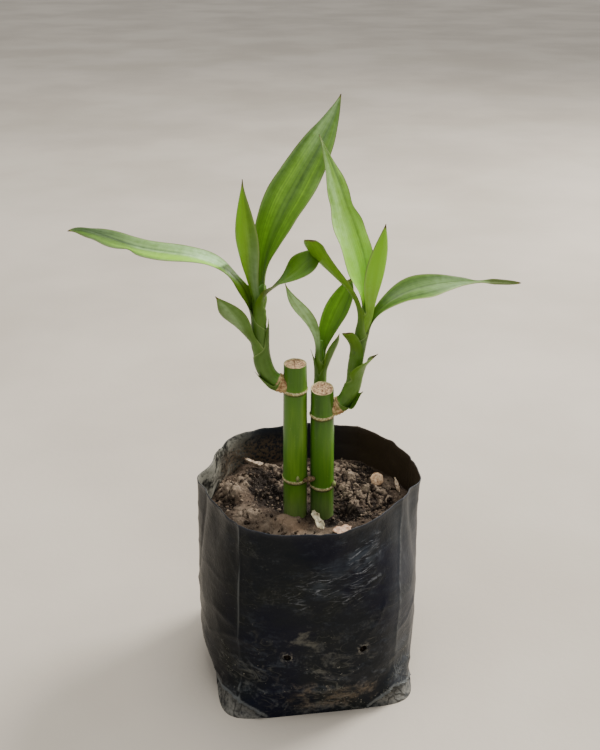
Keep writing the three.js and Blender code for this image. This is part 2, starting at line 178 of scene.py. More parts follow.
# Meshes
def tubeFaces(rings, around):
    # quads between neighbouring closed rings, and a fan of triangles to the middle of each end
    j, i = grid(np.arange(rings - 1), np.arange(around))
    k = (i + 1) % around
    quads = np.stack([j * around + i, j * around + k, (j + 1) * around + k, (j + 1) * around + i], -1)
    i, k = i[0], k[0]
    last = (rings - 1) * around
    low = np.stack([0 * i + rings * around, k, i], 1)
    high = np.stack([0 * i + rings * around + 1, last + i, last + k], 1)
    return quads.reshape(-1, 4), np.concatenate([low, high])


def withEnds(rows):
    # values on rings, with each end ring's mean added for the middles of the two ends
    flat = rows.reshape(-1, *rows.shape[2:])
    return np.concatenate([flat, rows[:1].mean(1), rows[-1:].mean(1)])


def makeMesh(name, points, quads, triangles, marks, sharpAngle):
    # keeps the points in use, turns the faces outward by the sign of the volume, and stores the marks
    used, place = np.unique(np.concatenate([quads.ravel(), triangles.ravel()]), return_inverse=True)
    points = points[used]
    quads, triangles = place[:quads.size].reshape(-1, 4), place[quads.size:].reshape(-1, 3)
    split = np.concatenate([quads[:, [0, 1, 2]], quads[:, [0, 2, 3]], triangles])
    a, b, c = (points[split[:, k]] for k in range(3))
    if (a * np.cross(b, c)).sum() < 0:
        quads, triangles = quads[:, ::-1], triangles[:, ::-1]
    mesh = bpy.data.meshes.new(name)
    corners = np.concatenate([quads.ravel(), triangles.ravel()])
    sizes = np.concatenate([np.full(len(quads), 4), np.full(len(triangles), 3)])
    mesh.vertices.add(len(points))
    mesh.vertices.foreach_set("co", (points * mm).ravel())
    mesh.loops.add(len(corners))
    mesh.loops.foreach_set("vertex_index", corners.astype(np.int32))
    mesh.polygons.add(len(sizes))
    mesh.polygons.foreach_set("loop_start", (np.cumsum(sizes) - sizes).astype(np.int32))
    mesh.update(calc_edges=True)
    mesh.validate()
    mesh.shade_smooth()
    mesh.set_sharp_from_angle(angle=math.radians(sharpAngle))
    for mark, values in marks.items():
        mesh.attributes.new(mark, "FLOAT", "POINT").data.foreach_set("value", values[used].ravel())
    return mesh


def addPiece(name, mesh, finish, nodes=()):
    piece = newObject(name, mesh)
    mesh.materials.append(finish)
    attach(piece, "root")
    if nodes:
        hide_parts(*nodes)


def addTube(name, rings, marks, finish, slot, nodes=(), sharpAngle=50):
    # a skin over closed rings, an array of rings by points by 3
    quads, triangles = tubeFaces(*rings.shape[:2])
    marks = {mark: withEnds(values) for mark, values in marks.items()}
    addPiece(name, makeMesh(name, withEnds(rings), quads, triangles, marks, sharpAngle), finish, nodes)


# Finishes
class Wire:
    # a socket that can be reckoned with: each sum adds a Math node
    def __init__(self, nodes, socket):
        self.nodes = nodes
        self.socket = socket

    def sum(self, operation, *terms):
        return self.nodes.add("ShaderNodeMath", {"operation": operation}, dict(enumerate(terms)))

    def __add__(self, other):
        return self.sum("ADD", self, other)

    def __sub__(self, other):
        return self.sum("SUBTRACT", self, other)

    def __rsub__(self, other):
        return self.sum("SUBTRACT", other, self)

    def __mul__(self, other):
        return self.sum("MULTIPLY", self, other)

    def __abs__(self):
        return self.sum("ABSOLUTE", self)

    __radd__ = __add__
    __rmul__ = __mul__

    def greater(self, other):
        return self.sum("MAXIMUM", self, other)

    def ease(self, low, high):
        # 0 below low, 1 over high, eased between; the other way round where low is the larger
        settings = {"interpolation_type": "SMOOTHSTEP"}
        sockets = {"Value": self, 1: min(low, high), 2: max(low, high)}
        rising = self.nodes.add("ShaderNodeMapRange", settings, sockets)
        return rising if low < high else 1 - rising


class Nodes:
    def __init__(self, tree):
        self.tree = tree

    def add(self, kind, settings=None, sockets=None, output=0):
        # one node: its settings first, then the values or links of its sockets
        node = self.tree.nodes.new(kind)
        for key, value in (settings or {}).items():
            setattr(node, key, value)
        for key, value in (sockets or {}).items():
            self.feed(node.inputs[key], value)
        return Wire(self, node.outputs[output])

    def feed(self, socket, value):
        if isinstance(value, Wire):
            self.tree.links.new(value.socket, socket)
        else:
            socket.default_value = value

    def parts(self, vector):
        node = self.add("ShaderNodeSeparateXYZ", sockets={0: vector}).socket.node
        return [Wire(self, output) for output in node.outputs]


class Finish(Nodes):
    # one material; what is even over the surface is set on the shader's own sockets
    def __init__(self, name, **even):
        self.material = bpy.data.materials.new(name)
        self.material.use_nodes = True
        super().__init__(self.material.node_tree)
        self.shader = self.tree.nodes["Principled BSDF"]
        for socket, value in even.items():
            self.shader.inputs[socket.replace("_", " ")].default_value = value

    def marks(self, *names):
        return [self.add("ShaderNodeAttribute", {"attribute_name": name}, output="Fac") for name in names]

    def place(self):
        return self.add("ShaderNodeTexCoord", output="Object")

    def joined(self, x, y, z):
        return self.add("ShaderNodeCombineXYZ", sockets={0: x, 1: y, 2: z})

    def scaled(self, vector, sizes):
        # a pattern's place, with each axis stretched by its own factor
        return self.add("ShaderNodeVectorMath", {"operation": "MULTIPLY"}, {0: vector, 1: sizes})

    def noise(self, vector, scale, detail=3.0, roughness=0.55, distortion=0.0):
        sockets = {"Vector": vector, "Scale": scale, "Detail": detail,
                   "Roughness": roughness, "Distortion": distortion}
        return self.add("ShaderNodeTexNoise", sockets=sockets)

    def mix(self, amount, under, over):
        # each colour is a wire, or red, green and blue as a screen shows them
        under, over = (tint if isinstance(tint, Wire) else shade(*tint) for tint in (under, over))
        settings = {"data_type": "RGBA", "clamp_factor": True}
        return self.add("ShaderNodeMix", settings, {0: amount, 6: under, 7: over}, 2)

    def coat(self, amount, over):
        # one more colour over what is painted so far
        self.color = self.mix(amount, self.color, over)

    def paint(self, roughness, height, depth):
        # depth is the height of a full step of the bump, in millimetres
        bump = self.add("ShaderNodeBump", sockets={"Distance": depth * mm, "Height": height})
        for socket, value in (("Base Color", self.color), ("Roughness", roughness), ("Normal", bump)):
            self.feed(self.shader.inputs[socket], value)
        return self.material


# Shoots and leaves
shootPlans = {
    "left": dict(foot=(-10.6, -5, 145.8), length=46, heading=[180], rise=[8, 137, 58, 110],
                 radius=[3.6, 3.4, 2.2], seed=11),
    "middle": dict(foot=(6, 0, 132.4), length=29, heading=[108, 31], rise=[9, 94, 106, 82],
                   radius=[2.6, 2.4, 1.6], seed=12),
    "right": dict(foot=(11.6, -4, 134.4), length=51, heading=[0], rise=[23, 140, 48, 88],
                  radius=[3.4, 3.0, 1.9], seed=13),
}

# what a leaf has unless its own plan says otherwise
usualLeaf = dict(
    roll=[0], bloom=[0], skySheenLean=0, bands=0.4, brown=1.2, midrib=0.6, rim=0, ripple=0.04, wave=1, tail=0,
    tip=0.35, neckEnd=(-9, -9), twist=(0, 1, 0), olive=(0, 0, 0, 1), stripes=[], shine=[], bulges=[])

# at: how far up the shoot its foot is; side: which way it leaves, in degrees, if not the way it heads at
# first; widest: share of the length. Heading, rise, roll, fold, tone (how light the green is) and the pale
# sheen (the sky's reflection, painted into the colour) run from foot to tip; its lean pushes that painted
# sheen towards one edge. A name begins with its shoot's.
# rim: the side that has a pale edge; neckEnd: where the green neck ends, at both edges; twist: share, reach,
# degrees. Olive is a dull stain: strength, begin, fading, end. Stripes are lighter or darker: across, wide,
# amount. Shine is more of the painted sheen, a painted highlight streak: across, wide, start, end, amount.
# Bulges push one edge out or in: edge, share, reach, amount. Across goes from -1 at one edge to 1 at the
# other.
leafPlans = {
    "left_tall": dict(
        at=43, length=89, width=18, widest=0.5, full=2.4,
        heading=[20, 55, 41], rise=[108, 12, 66], roll=[0, 27, 46], fold=[60, 16, 14],
        tone=[0.45, 0.66, 0.5, 0.5], bloom=[0, 0, 0.15, 1.0], skySheenLean=-0.5, bands=0.8, midrib=0.1,
        ripple=0.08, wave=1.6,
        stripes=[(0.17, 0.13, -0.34), (-0.5, 0.3, 0.24), (0.5, 0.1, 0.26), (-0.93, 0.1, -0.2)]),
    "left_young": dict(
        at=41, length=52, width=10.5, widest=0.53, full=3.6,
        heading=[235, 238, 241], rise=[73, 83, 92], roll=[0, 5, -4], fold=[60, 30, 20],
        tone=[0.3, 0.8, 1.4, 1.2], bloom=[0.6, 0.25, 0, 0], skySheenLean=-0.9, bands=0.35, brown=2.8, rim=-1,
        midrib=0.1, stripes=[(-0.7, 0.5, -0.6), (0.5, 0.35, 0.3)]),
    "left_long": dict(
        at=34, length=90, width=10, widest=0.58, full=2,
        heading=[180, 166, 171], rise=[85, 70, -113, 102, -21], roll=[0, -26, -28], fold=[62, 20, 12],
        tone=[0.6, 0.75, 1.1, 0.4, -0.3], bloom=[1.3, 1.7, 0.9, 0.1, 0.1], skySheenLean=0.55, brown=1.6,
        wave=1.2, ripple=0.08, twist=(0.12, 0.09, -35), neckEnd=(27.5, 23.5), midrib=0,
        olive=(0.25, 0, 20, 25), stripes=[(-0.6, 0.3, 0.4), (-1, 0.1, -0.8), (0.14, 0.06, -0.5)],
        shine=[(-0.05, 0.1, 26, 60, 1.0), (0.1, 0.5, 26, 34, 1.0)],
        bulges=[(-1, 0.5, 0.1, 2.4), (-1, 0.7, 0.035, -2.0), (-1, 0.8, 0.05, 1.2), (-1, 0.92, 0.06, 1.6),
                (1, 0.92, 0.06, -1.2), (1, 0.2, 0.08, -1.9), (-1, 0.24, 0.06, -1.0)]),
    "left_crossing": dict(
        at=35.6, length=43, width=14, widest=0.66, full=5,
        heading=[-80, -5, 50], rise=[100, 0, 55, 30], roll=[0, -14, 41], fold=[65, 25, 15],
        tone=[0.5, 0.42, 0.5, 0.45], bloom=[0, 0, 0.1], midrib=0.2, ripple=0.06, olive=(0.7, 9, 14, 24)),
    "left_lower": dict(
        at=23, length=30, width=10.8, widest=0.54, full=3.2,
        heading=[210, 234, 209], rise=[56, 60, 50], roll=[0, 30, 40], fold=[70, 30, 15],
        tone=[0.4, 0.3, 0.4], bloom=[0, 0.5, 0.2], midrib=0, shine=[(0.1, 0.35, 6, 24, 1.1)]),
    "left_small": dict(
        at=22, length=11.5, width=3.6, widest=0.4, full=3,
        heading=[-15], rise=[88, 90], fold=[45, 40, 30], tone=[0.3, 0.2], bands=0.2, brown=0.8),
    "left_bract": dict(
        at=4, length=10.5, width=5, widest=0.3, full=3,
        heading=[200], rise=[50, 58], fold=[60, 45, 30], tone=[0.2, 0.35], bands=0.2, brown=1.5),
    "middle_tall": dict(
        at=26, length=33, width=12.3, widest=0.56, full=2,
        heading=[50, 49, 36], rise=[76, 32, 71], roll=[0, -1, 17], fold=[60, 18, 12],
        tone=[0.4, 0.72, 0.55], bloom=[0, 0, 0.1], bands=0.6, brown=1.0, midrib=0.1, ripple=0.06,
        stripes=[(0.7, 0.5, -0.25), (-0.4, 0.3, 0.12)]),
    "middle_left": dict(
        at=24, length=41, width=8.9, widest=0.58, full=3.5,
        heading=[200, 228, 213], rise=[104, 25, 72], roll=[0, 33, 4], fold=[60, 25, 15],
        tone=[0.55, 0.6, 0.7], bloom=[0.8, 3.6, 3.0, 1.0], bands=0.3, brown=2, midrib=0.15),
    "middle_right": dict(
        at=17, length=21, width=7, widest=0.53, full=3.8,
        heading=[-35, -23, -61], rise=[72, 68], fold=[60, 35, 25],
        tone=[0.5, 0.45, 0.4], bloom=[0, 0.2, 0.1], brown=1.5),
    "middle_bract": dict(
        at=17, length=11, width=2.5, widest=0.3, full=3,
        heading=[200], rise=[88, 70], fold=[45, 40, 30], tone=[0.4, 0.5], bands=0.2, brown=1),
    "right_tall": dict(
        at=49, length=70, width=16, widest=0.37, full=2.1,
        heading=[150, 143, 156], rise=[91, 49, 84, 65], roll=[0, -29, -15], fold=[55, 18, 12],
        tone=[1.0, 1.3, 1.1, 0.35], bloom=[0.2, 1.1, 1.0, 0.3], skySheenLean=-0.35, bands=0.6, brown=0.8,
        wave=2.2, ripple=0.06, midrib=0.2,
        stripes=[(0.45, 0.1, -0.3), (0.2, 0.12, 0.15), (-0.3, 0.12, -0.15)],
        bulges=[(1, 0.57, 0.07, -1.6), (1, 0.74, 0.06, 0.6), (-1, 0.6, 0.05, -0.9), (-1, 0.46, 0.06, 0.7)]),
    "right_young": dict(
        at=47, length=39, width=9.4, widest=0.5, full=2.4,
        heading=[-60, -43, -41], rise=[83, 77, 82], roll=[0, -16, -15], fold=[50, 30, 20],
        tone=[0.8, 2.0, 2.1], bloom=[0.5, 0, 0], bands=0.3, brown=1.6, rim=1, midrib=0.1,
        stripes=[(-0.8, 0.3, -0.2)]),
    "right_long": dict(
        at=38, length=76, width=12, widest=0.39, full=6.8,
        heading=[15, 50, -17], rise=[87, -32, 24, -21, 5], roll=[0, 40, 50], fold=[55, 20, 12],
        tone=[0.25, 0.3, 0.35, 0.4, 0.3], bloom=[0, 0, 0, 1.4, 0.3], bands=0.6, brown=1.5, rim=1, wave=1.2,
        ripple=0.06, tail=2.2, midrib=0.2, olive=(0.8, 60, 90, 91),
        bulges=[(1, 0.42, 0.06, 0.8), (-1, 0.74, 0.04, -0.5)]),
    "right_narrow": dict(
        at=40, length=48, width=11, widest=0.82, full=2.1,
        heading=[215, 208, 203], rise=[100, 7, 73], roll=[0, -6, 30], fold=[60, 40, 30],
        tone=[0.55, 0.7, 0.75], bloom=[0, 0.1, 0], brown=0.9, midrib=0.3, bulges=[(-1, 0.94, 0.04, 1.2)]),
    "right_cut": dict(
        at=26, side=240, length=13.8, width=5.6, widest=0.6, full=0.8,
        heading=[235, 212, 205], rise=[120, 42, 58], roll=[0, 35], fold=[60, 40, 30],
        tone=[0.5, 0.6], bloom=[0.1], bands=0.3, brown=0.5, tip=2.4),
    "right_lower": dict(
        at=17, length=15.5, width=10, widest=0.42, full=2.2,
        heading=[-55, 5], rise=[82, 50, 44], roll=[0, -12], fold=[60, 40, 30],
        tone=[0.5, 0.5, 0.9], bloom=[0.1], bands=0.3, brown=2.6, midrib=0.2,
        bulges=[(-1, 0.55, 0.3, 1.6)]),
    "right_bract": dict(
        at=5, side=-25, length=9, width=8, widest=0.3, full=3,
        heading=[-10], rise=[62, 49], roll=[30], fold=[60, 45, 30], tone=[0.35, 0.5], bands=0.2),
}

bladePlan = {
    "lift": 0.4,            # of a blade's foot from its shoot
    "thickness": 0.42,
    "step": 0.6,            # between stations
    "across": 17,           # points over one side of a blade
    "wrap": 7,              # the sheath's rim slants over this much of the shoot
    "closed": 3.0,          # half angle of a sheath's arc at its foot, in radians
    "rib": 0.22,            # depth of the middle fold
    "ribWide": 0.9,
}


def wayOf(plan, s):
    # direction of a growing line at share s, from its heading and its rise
    h, r = (np.radians(blendRun(plan[key], s)) for key in ("heading", "rise"))
    return np.stack([np.cos(r) * np.cos(h), np.cos(r) * np.sin(h), np.sin(r)], -1)


def lineAt(plan, t):
    # points and directions at t mm along a line that grows from its foot, straight beyond its ends
    steps = 240
    ways = wayOf(plan, (np.arange(steps) + 0.5) / steps)
    knots = np.concatenate([[plan["foot"]], plan["foot"] + np.cumsum(ways, 0) * plan["length"] / steps])
    s = np.clip(t / plan["length"], 0, 1)
    point = np.stack([np.interp(s * steps, np.arange(steps + 1), knots[:, k]) for k in range(3)], -1)
    way = wayOf(plan, s)
    return point + way * (t - s * plan["length"])[:, None], way


def smoothed(rows, reach, weight):
    # a weighted running mean over neighbouring stations, mixed in by weight
    share = np.hanning(2 * reach + 3)[1:-1]
    padded = np.concatenate([np.repeat(rows[:1], reach, 0), rows, np.repeat(rows[-1:], reach, 0)])
    mean = np.stack([np.convolve(column, share / share.sum(), "valid") for column in padded.T], 1)
    return rows + (mean - rows) * weight[:, None]


def leafSkin(plan, shoot, gap, seed):
    # t below 0 is the sheath: an arc round the shoot that opens from nearly closed to the blade's
    # own arc. From t = 0 the middle line follows heading and rise, the half width is
    # foot(1-s)^4 + width (s/w)^(f w) ((1-s)/(1-w))^(f (1-w)), and each section is an arc over +-fold.
    length, at = plan["length"], plan["at"]
    sheath = min(gap + 5, at)
    t = np.linspace(-sheath, length, int((length + sheath) / bladePlan["step"]))
    low, high = np.minimum(t, 0), np.maximum(t, 0)
    s = high / length
    stem, stemWay = lineAt(shoot, at + low)
    side = math.radians(plan["side"])
    out = np.broadcast_to([math.cos(side), math.sin(side), 0], stem.shape)
    out = unit(out - stemWay * (out * stemWay).sum(-1, keepdims=True))
    lift = bladePlan["lift"] - 0.15 * easeUp(-low, 0, 4) - 0.6 * easeUp(-low, sheath * 0.3, sheath)
    sheathRadius = blendRun(shoot["radius"], (at + low) / shoot["length"]) + lift

    blade = lineAt(dict(plan, foot=stem[-1] + out[-1] * sheathRadius[-1]), high)[0]
    h, r, roll = (np.radians(blendRun(plan[key], s)) for key in ("heading", "rise", "roll"))
    share, reach, degrees = plan["twist"]
    roll += math.radians(degrees) * bell(s - share, reach)
    inward = np.stack([-np.sin(r) * np.cos(h), -np.sin(r) * np.sin(h), np.cos(r)], -1)
    level = np.stack([np.sin(h), -np.cos(h), 0 * h], -1)
    turned, straight = np.sin(roll)[:, None], np.cos(roll)[:, None]
    inSheath = (t < 0)[:, None]
    middle = np.where(inSheath, stem + out * sheathRadius[:, None], blade)
    face = np.where(inSheath, -out, inward * straight + level * turned)
    across = np.where(inSheath, np.cross(out, stemWay), level * straight - inward * turned)
    joint = bell(t, 3)
    middle, face, across = smoothed(middle, 3, joint), smoothed(face, 4, joint), smoothed(across, 4, joint)
    across = unit(across)
    face = unit(face - across * (face * across).sum(-1, keepdims=True))

    fold = np.radians(blendRun([*plan["fold"], plan["fold"][-1]], s))
    fold += (bladePlan["closed"] - fold) * easeUp(-low, 0, bladePlan["wrap"])
    w, f = plan["widest"], plan["full"]
    half = (2 * sheathRadius[-1] * fold[np.searchsorted(t, 0)] * (1 - s) ** 4 + plan["tip"] * s
            + plan["width"] * (s / w) ** (f * w) * ((1 - s) / (1 - w)) ** (f * (1 - w))) / 2
    half += 0.5 * plan["tail"] * easeUp(s, 0.77, 0.86) * (1 - s ** 24)
    half = np.where(t < 0, sheathRadius * fold, half)

    m = bladePlan["across"]
    u = np.concatenate([np.linspace(-1, 1, m), np.linspace(1, -1, m)])
    tt, uu = grid(t, u)
    upper = 0 * tt + np.repeat([1.0, 0.0], m)
    flat = 0 * tt + seed
    half, fold, s = (row[:, None] for row in (half, fold, s))
    bend = half / fold
    body = easeUp(tt, 4, 14) * easeUp(length - tt, 0, 12)
    thick = bladePlan["thickness"] * (1 - 0.75 * uu ** 4) * (0.35 + 0.65 * easeUp(length - tt, 0, 8))
    over = np.stack([tt / 9, uu * half / 3, flat], -1)
    margin = np.stack([tt / 14, np.sign(uu) * 3, flat], -1)
    wave, ripple = cloud(margin, 1, 40 + seed, 2), cloud(margin, 1, 80 + seed, 2)
    off = ((upper - 0.5) * thick + 0.10 * body * cloud(over, 1, seed, 2)
           - bladePlan["rib"] * body * np.exp(-np.abs(uu) * half / bladePlan["ribWide"])
           + 0.07 * plan["wave"] * half * body * np.abs(uu) ** 3 * wave)
    reach = 1 + plan["ripple"] * body * ripple
    for edge, share, wide, amount in plan["bulges"]:
        reach += amount / half * bell(s - share, wide) * np.clip(uu * edge, 0, 1) * body
    turn = fold * uu * reach
    points = (middle[:, None] + across[:, None] * ((bend - off) * np.sin(turn))[..., None]
              + face[:, None] * (bend - (bend - off) * np.cos(turn))[..., None])

    edgeGap = half * (1 - np.abs(uu))
    rimGap = half * (1 - np.clip(uu * plan["rim"], 0, 1))
    ragged = 1 + 0.5 * latticeNoise(np.stack([uu * 3, 0 * tt, flat], -1), 1, 5)
    inBlade = easeUp(tt - np.interp(uu, [-1, 1], plan["neckEnd"]), -0.5, 0.5)
    # the pale sheen is the sky's reflection painted into the colour; shine adds painted highlight streaks
    bloom = blendRun(plan["bloom"], s) * (0.75 + 0.5 * cloud(over * [0.5, 1, 1], 1, seed + 60, 2))
    for place, wide, start, end, amount in plan["shine"]:
        bloom += amount * easeUp(tt, start, start + 5) * easeUp(tt, end + 6, end) * bell(uu - place, wide)
    bloom = bloom * inBlade * (1 + plan["skySheenLean"] * np.tanh(4 * uu))
    tone = blendRun(plan["tone"], s) * inBlade + 0.32 * (1 - inBlade)
    for place, wide, amount in plan["stripes"]:
        tone += amount * bell(uu - place, wide) * easeUp(tt, 0, 10)
    olive, begin, fading, end = plan["olive"]
    marks = {
        "alongLeaf": tt, "acrossLeaf": uu, "upper": upper, "edgeGap": edgeGap, "tone": tone,
        "bloom": bloom * easeUp(tt, 0, 8) + 0.16 * easeUp(tt, 8, 0),
        "bands": 0 * tt + plan["bands"],
        "brown": easeUp((length - tt) / (plan["brown"] * ragged), 1.3, 0.5),
        "midrib": plan["midrib"] * body * bell(uu * half, 0.4),
        "olive": olive * easeUp(tt, begin, begin + 4) * easeUp(tt, end, fading),
        "rim": (np.exp(-rimGap / 0.5) + 0.6 * np.exp(-edgeGap / 0.18)) * easeUp(tt, 3, 12)
        + np.exp(-edgeGap / 0.35) * easeUp(tt, 4, -2),
    }
    return points, marks


def shootSkin(shoot):
    # rings over the shoot's line; radius from its own run, a rough collar at the foot, a blunt cone on top
    t = np.arange(-3, shoot["length"] + 2.5, 0.3)
    point, way = lineAt(shoot, t)
    aside = unit(np.cross(way, [0.05, -1, 0.02]))
    ahead = np.cross(aside, way)
    tt, aa = grid(t, turnsOf(48))
    place = ringed(3, aa, tt) + shoot["seed"]
    collar = easeUp(tt + 1.1 * cloud(place, 2.5, 3, 2), 4.4, 2.6)
    radius = blendRun(shoot["radius"], np.clip(tt / shoot["length"], 0, 1))
    radius = radius * np.sqrt(1 - np.clip((tt - shoot["length"] + 3.5) / 6.3, 0, 1) ** 2)
    radius += collar * (0.35 + 0.16 * np.sin(tt * 5 + 2 * cloud(place, 3, 9)) + 0.2 * cloud(place, 1.4, 5))
    radius += (1 - collar) * (0.03 * np.cos(aa * 14) + 0.05 * cloud(place * [1, 1, 0.25], 2, 8))
    points = (point[:, None] + aside[:, None] * (radius * np.cos(aa))[..., None]
              + ahead[:, None] * (radius * np.sin(aa))[..., None])
    return points, {"collar": collar, "alongShoot": tt, "roundShoot": aa}


def leafFinish():
    # green by tone, a pale sheen painted on as the sky's reflection, midrib, rims and dark edges, bands and
    # veins along it, and a brown tip
    f = Finish("leaf green", IOR=1.45, Specular_IOR_Level=0.28)
    along, across, upper, bloom, brown = f.marks("alongLeaf", "acrossLeaf", "upper", "bloom", "brown")
    tone, strength, midrib, rim, olive = f.marks("tone", "bands", "midrib", "rim", "olive")
    edgeGap, = f.marks("edgeGap")
    bands = f.noise(f.joined(across * 3.2, along * 0.012, upper * 3), 1.0, 2)
    veins = f.noise(f.joined(across * 15, along * 0.02, upper * 5), 1.0, 1)
    lines = f.noise(f.joined(across * 46, along * 0.03, upper * 7), 1.0, 0)
    mottle = f.noise(f.place(), 420, 3)
    tone += (bands - 0.5) * 1.1 * strength + (veins - 0.5) * (0.25 + 0.35 * strength)
    tone += (lines - 0.5) * 0.16 + (mottle - 0.5) * 0.3
    f.color = f.mix(tone.ease(0, 0.55), (40, 68, 3), (84, 123, 10))
    f.coat(tone.ease(0.5, 1.1), (140, 196, 6))
    f.coat(tone.ease(1.1, 1.7), (150, 222, 2))
    f.coat((1 - upper) * 0.2, (106, 148, 36))
    # painted reflection: the pale sheen over the blade
    f.coat(bloom * (0.55 + 0.9 * (bands - 0.5) + 0.8 * (mottle - 0.5)) * 0.7, (196, 232, 172))
    f.coat(midrib * 0.5, (160, 190, 92))
    f.coat(rim * 0.6, (180, 204, 120))
    f.coat(olive, (84, 92, 30))
    f.coat(edgeGap.ease(0.45, 0.1) * along.ease(8, 16) * (0.2 + 0.7 * mottle), (78, 72, 30))
    f.coat(brown.ease(0, 0.5), (132, 126, 56))
    f.coat((brown + (mottle - 0.5) * 0.6).ease(0.4, 0.9), (78, 60, 40))
    roughness = 0.36 + 0.16 * bloom + 0.1 * (mottle - 0.5) + 0.3 * brown
    height = (veins - 0.5) * 0.8 + (lines - 0.5) * 0.5 + (mottle - 0.5) * 0.35
    f.paint(roughness, height, 0.10)
    # light that comes through the thin blade
    glow = f.add("ShaderNodeBsdfTranslucent", sockets={"Color": shade(160, 210, 30)})
    mixed = f.add("ShaderNodeMixShader", sockets={0: 0.16, 1: Wire(f, f.shader.outputs[0]), 2: glow})
    f.feed(f.tree.nodes["Material Output"].inputs["Surface"], mixed)
    return f.material


def shootFinish():
    # smooth green sheath with fine ribs, and a scaly tan collar, mottled green, at its foot
    f = Finish("shoot green", IOR=1.45, Specular_IOR_Level=0.32)
    along, turn, collar = f.marks("alongShoot", "roundShoot", "collar")
    ribs = f.noise(f.joined(turn * 5, along * 0.05, 0.0), 1.0, 2)
    mottle = f.noise(f.place(), 600, 3)
    f.color = f.mix(0.5 + (ribs - 0.5) * 0.9 + (mottle - 0.5) * 0.5, (60, 100, 34), (116, 160, 56))
    scale = f.noise(f.scaled(f.place(), (1, 1, 1.8)), 480, 4)
    bark = f.mix(scale.ease(0.3, 0.7), (136, 96, 60), (224, 190, 138))
    bark = f.mix((1 - collar).ease(0.05, 0.6) * collar.ease(0, 0.4) * 0.5, bark, (150, 96, 62))
    bark = f.mix(mottle.ease(0.5, 0.62) * 0.5, bark, (142, 148, 74))
    f.coat((collar + (scale - 0.5) * 0.7).ease(0.15, 0.8), bark)
    height = ribs * (1 - collar) + scale * collar * 2
    return f.paint(0.38 + 0.35 * collar + 0.1 * (mottle - 0.5), height, 0.12)


def makeLeaves():
    # each leaf gets the gap from its foot to the next foot below it
    leafGreen, shootGreen = leafFinish(), shootFinish()
    for side, shoot in shootPlans.items():
        addTube(f"shoot_{side}_skin", *shootSkin(shoot), shootGreen, "shoot", [f"shoot_{side}"])
        feet = [plan["at"] for name, plan in leafPlans.items() if name.startswith(side)]
        for seed, (name, plan) in enumerate(leafPlans.items()):
            if name.startswith(side):
                gap = plan["at"] - max([at for at in feet if at < plan["at"]], default=0)
                skin = leafSkin({**usualLeaf, "side": plan["heading"][0], **plan}, shoot, gap, seed)
                addTube(f"leaf_{name}_blade", *skin, leafGreen, "leaf", [f"leaf_{name}"], 60)
    print("leaves and shoots ready")


makeLeaves()


# Canes
canePlans = {
    "cane_left": dict(
        x=-5.7, y=-5, top=155, tilt=3, leanX=0.2, radii=[5.1, 5.35, 5.35, 4.85], rings=[100.3, 143.5],
        seed=21, bright=0.6, dark=0.33,
        buds=[dict(at=(-4.5, -10.4, 102.2), half=(0.8, 0.9, 1.5)),
              dict(at=(0.5, -9.6, 101.6), half=(2.8, 1.4, 1.4), turn=-14, brown=1)]),
    "cane_right": dict(
        x=6.4, y=-5, top=143.4, tilt=11, leanX=-0.5, radii=[5.05, 5.25, 5.25, 4.9], rings=[96.9, 131.7],
        seed=22, bright=0.4, dark=0.14,
        buds=[dict(at=(11.3, -8, 98.3), half=(1, 1, 1.4))]),
}
canePlan = {
    "foot": 70, "around": 96, "step": 0.4, "ringOut": 0.6, "ringSlant": 0.4, "cutRings": 16,
    # the skin is painted lighter towards this side and darker away from it, as if lit from there: painted
    # light and shade
    "paintedLightFrom": -50,         # where the skin is lightest, in degrees
}


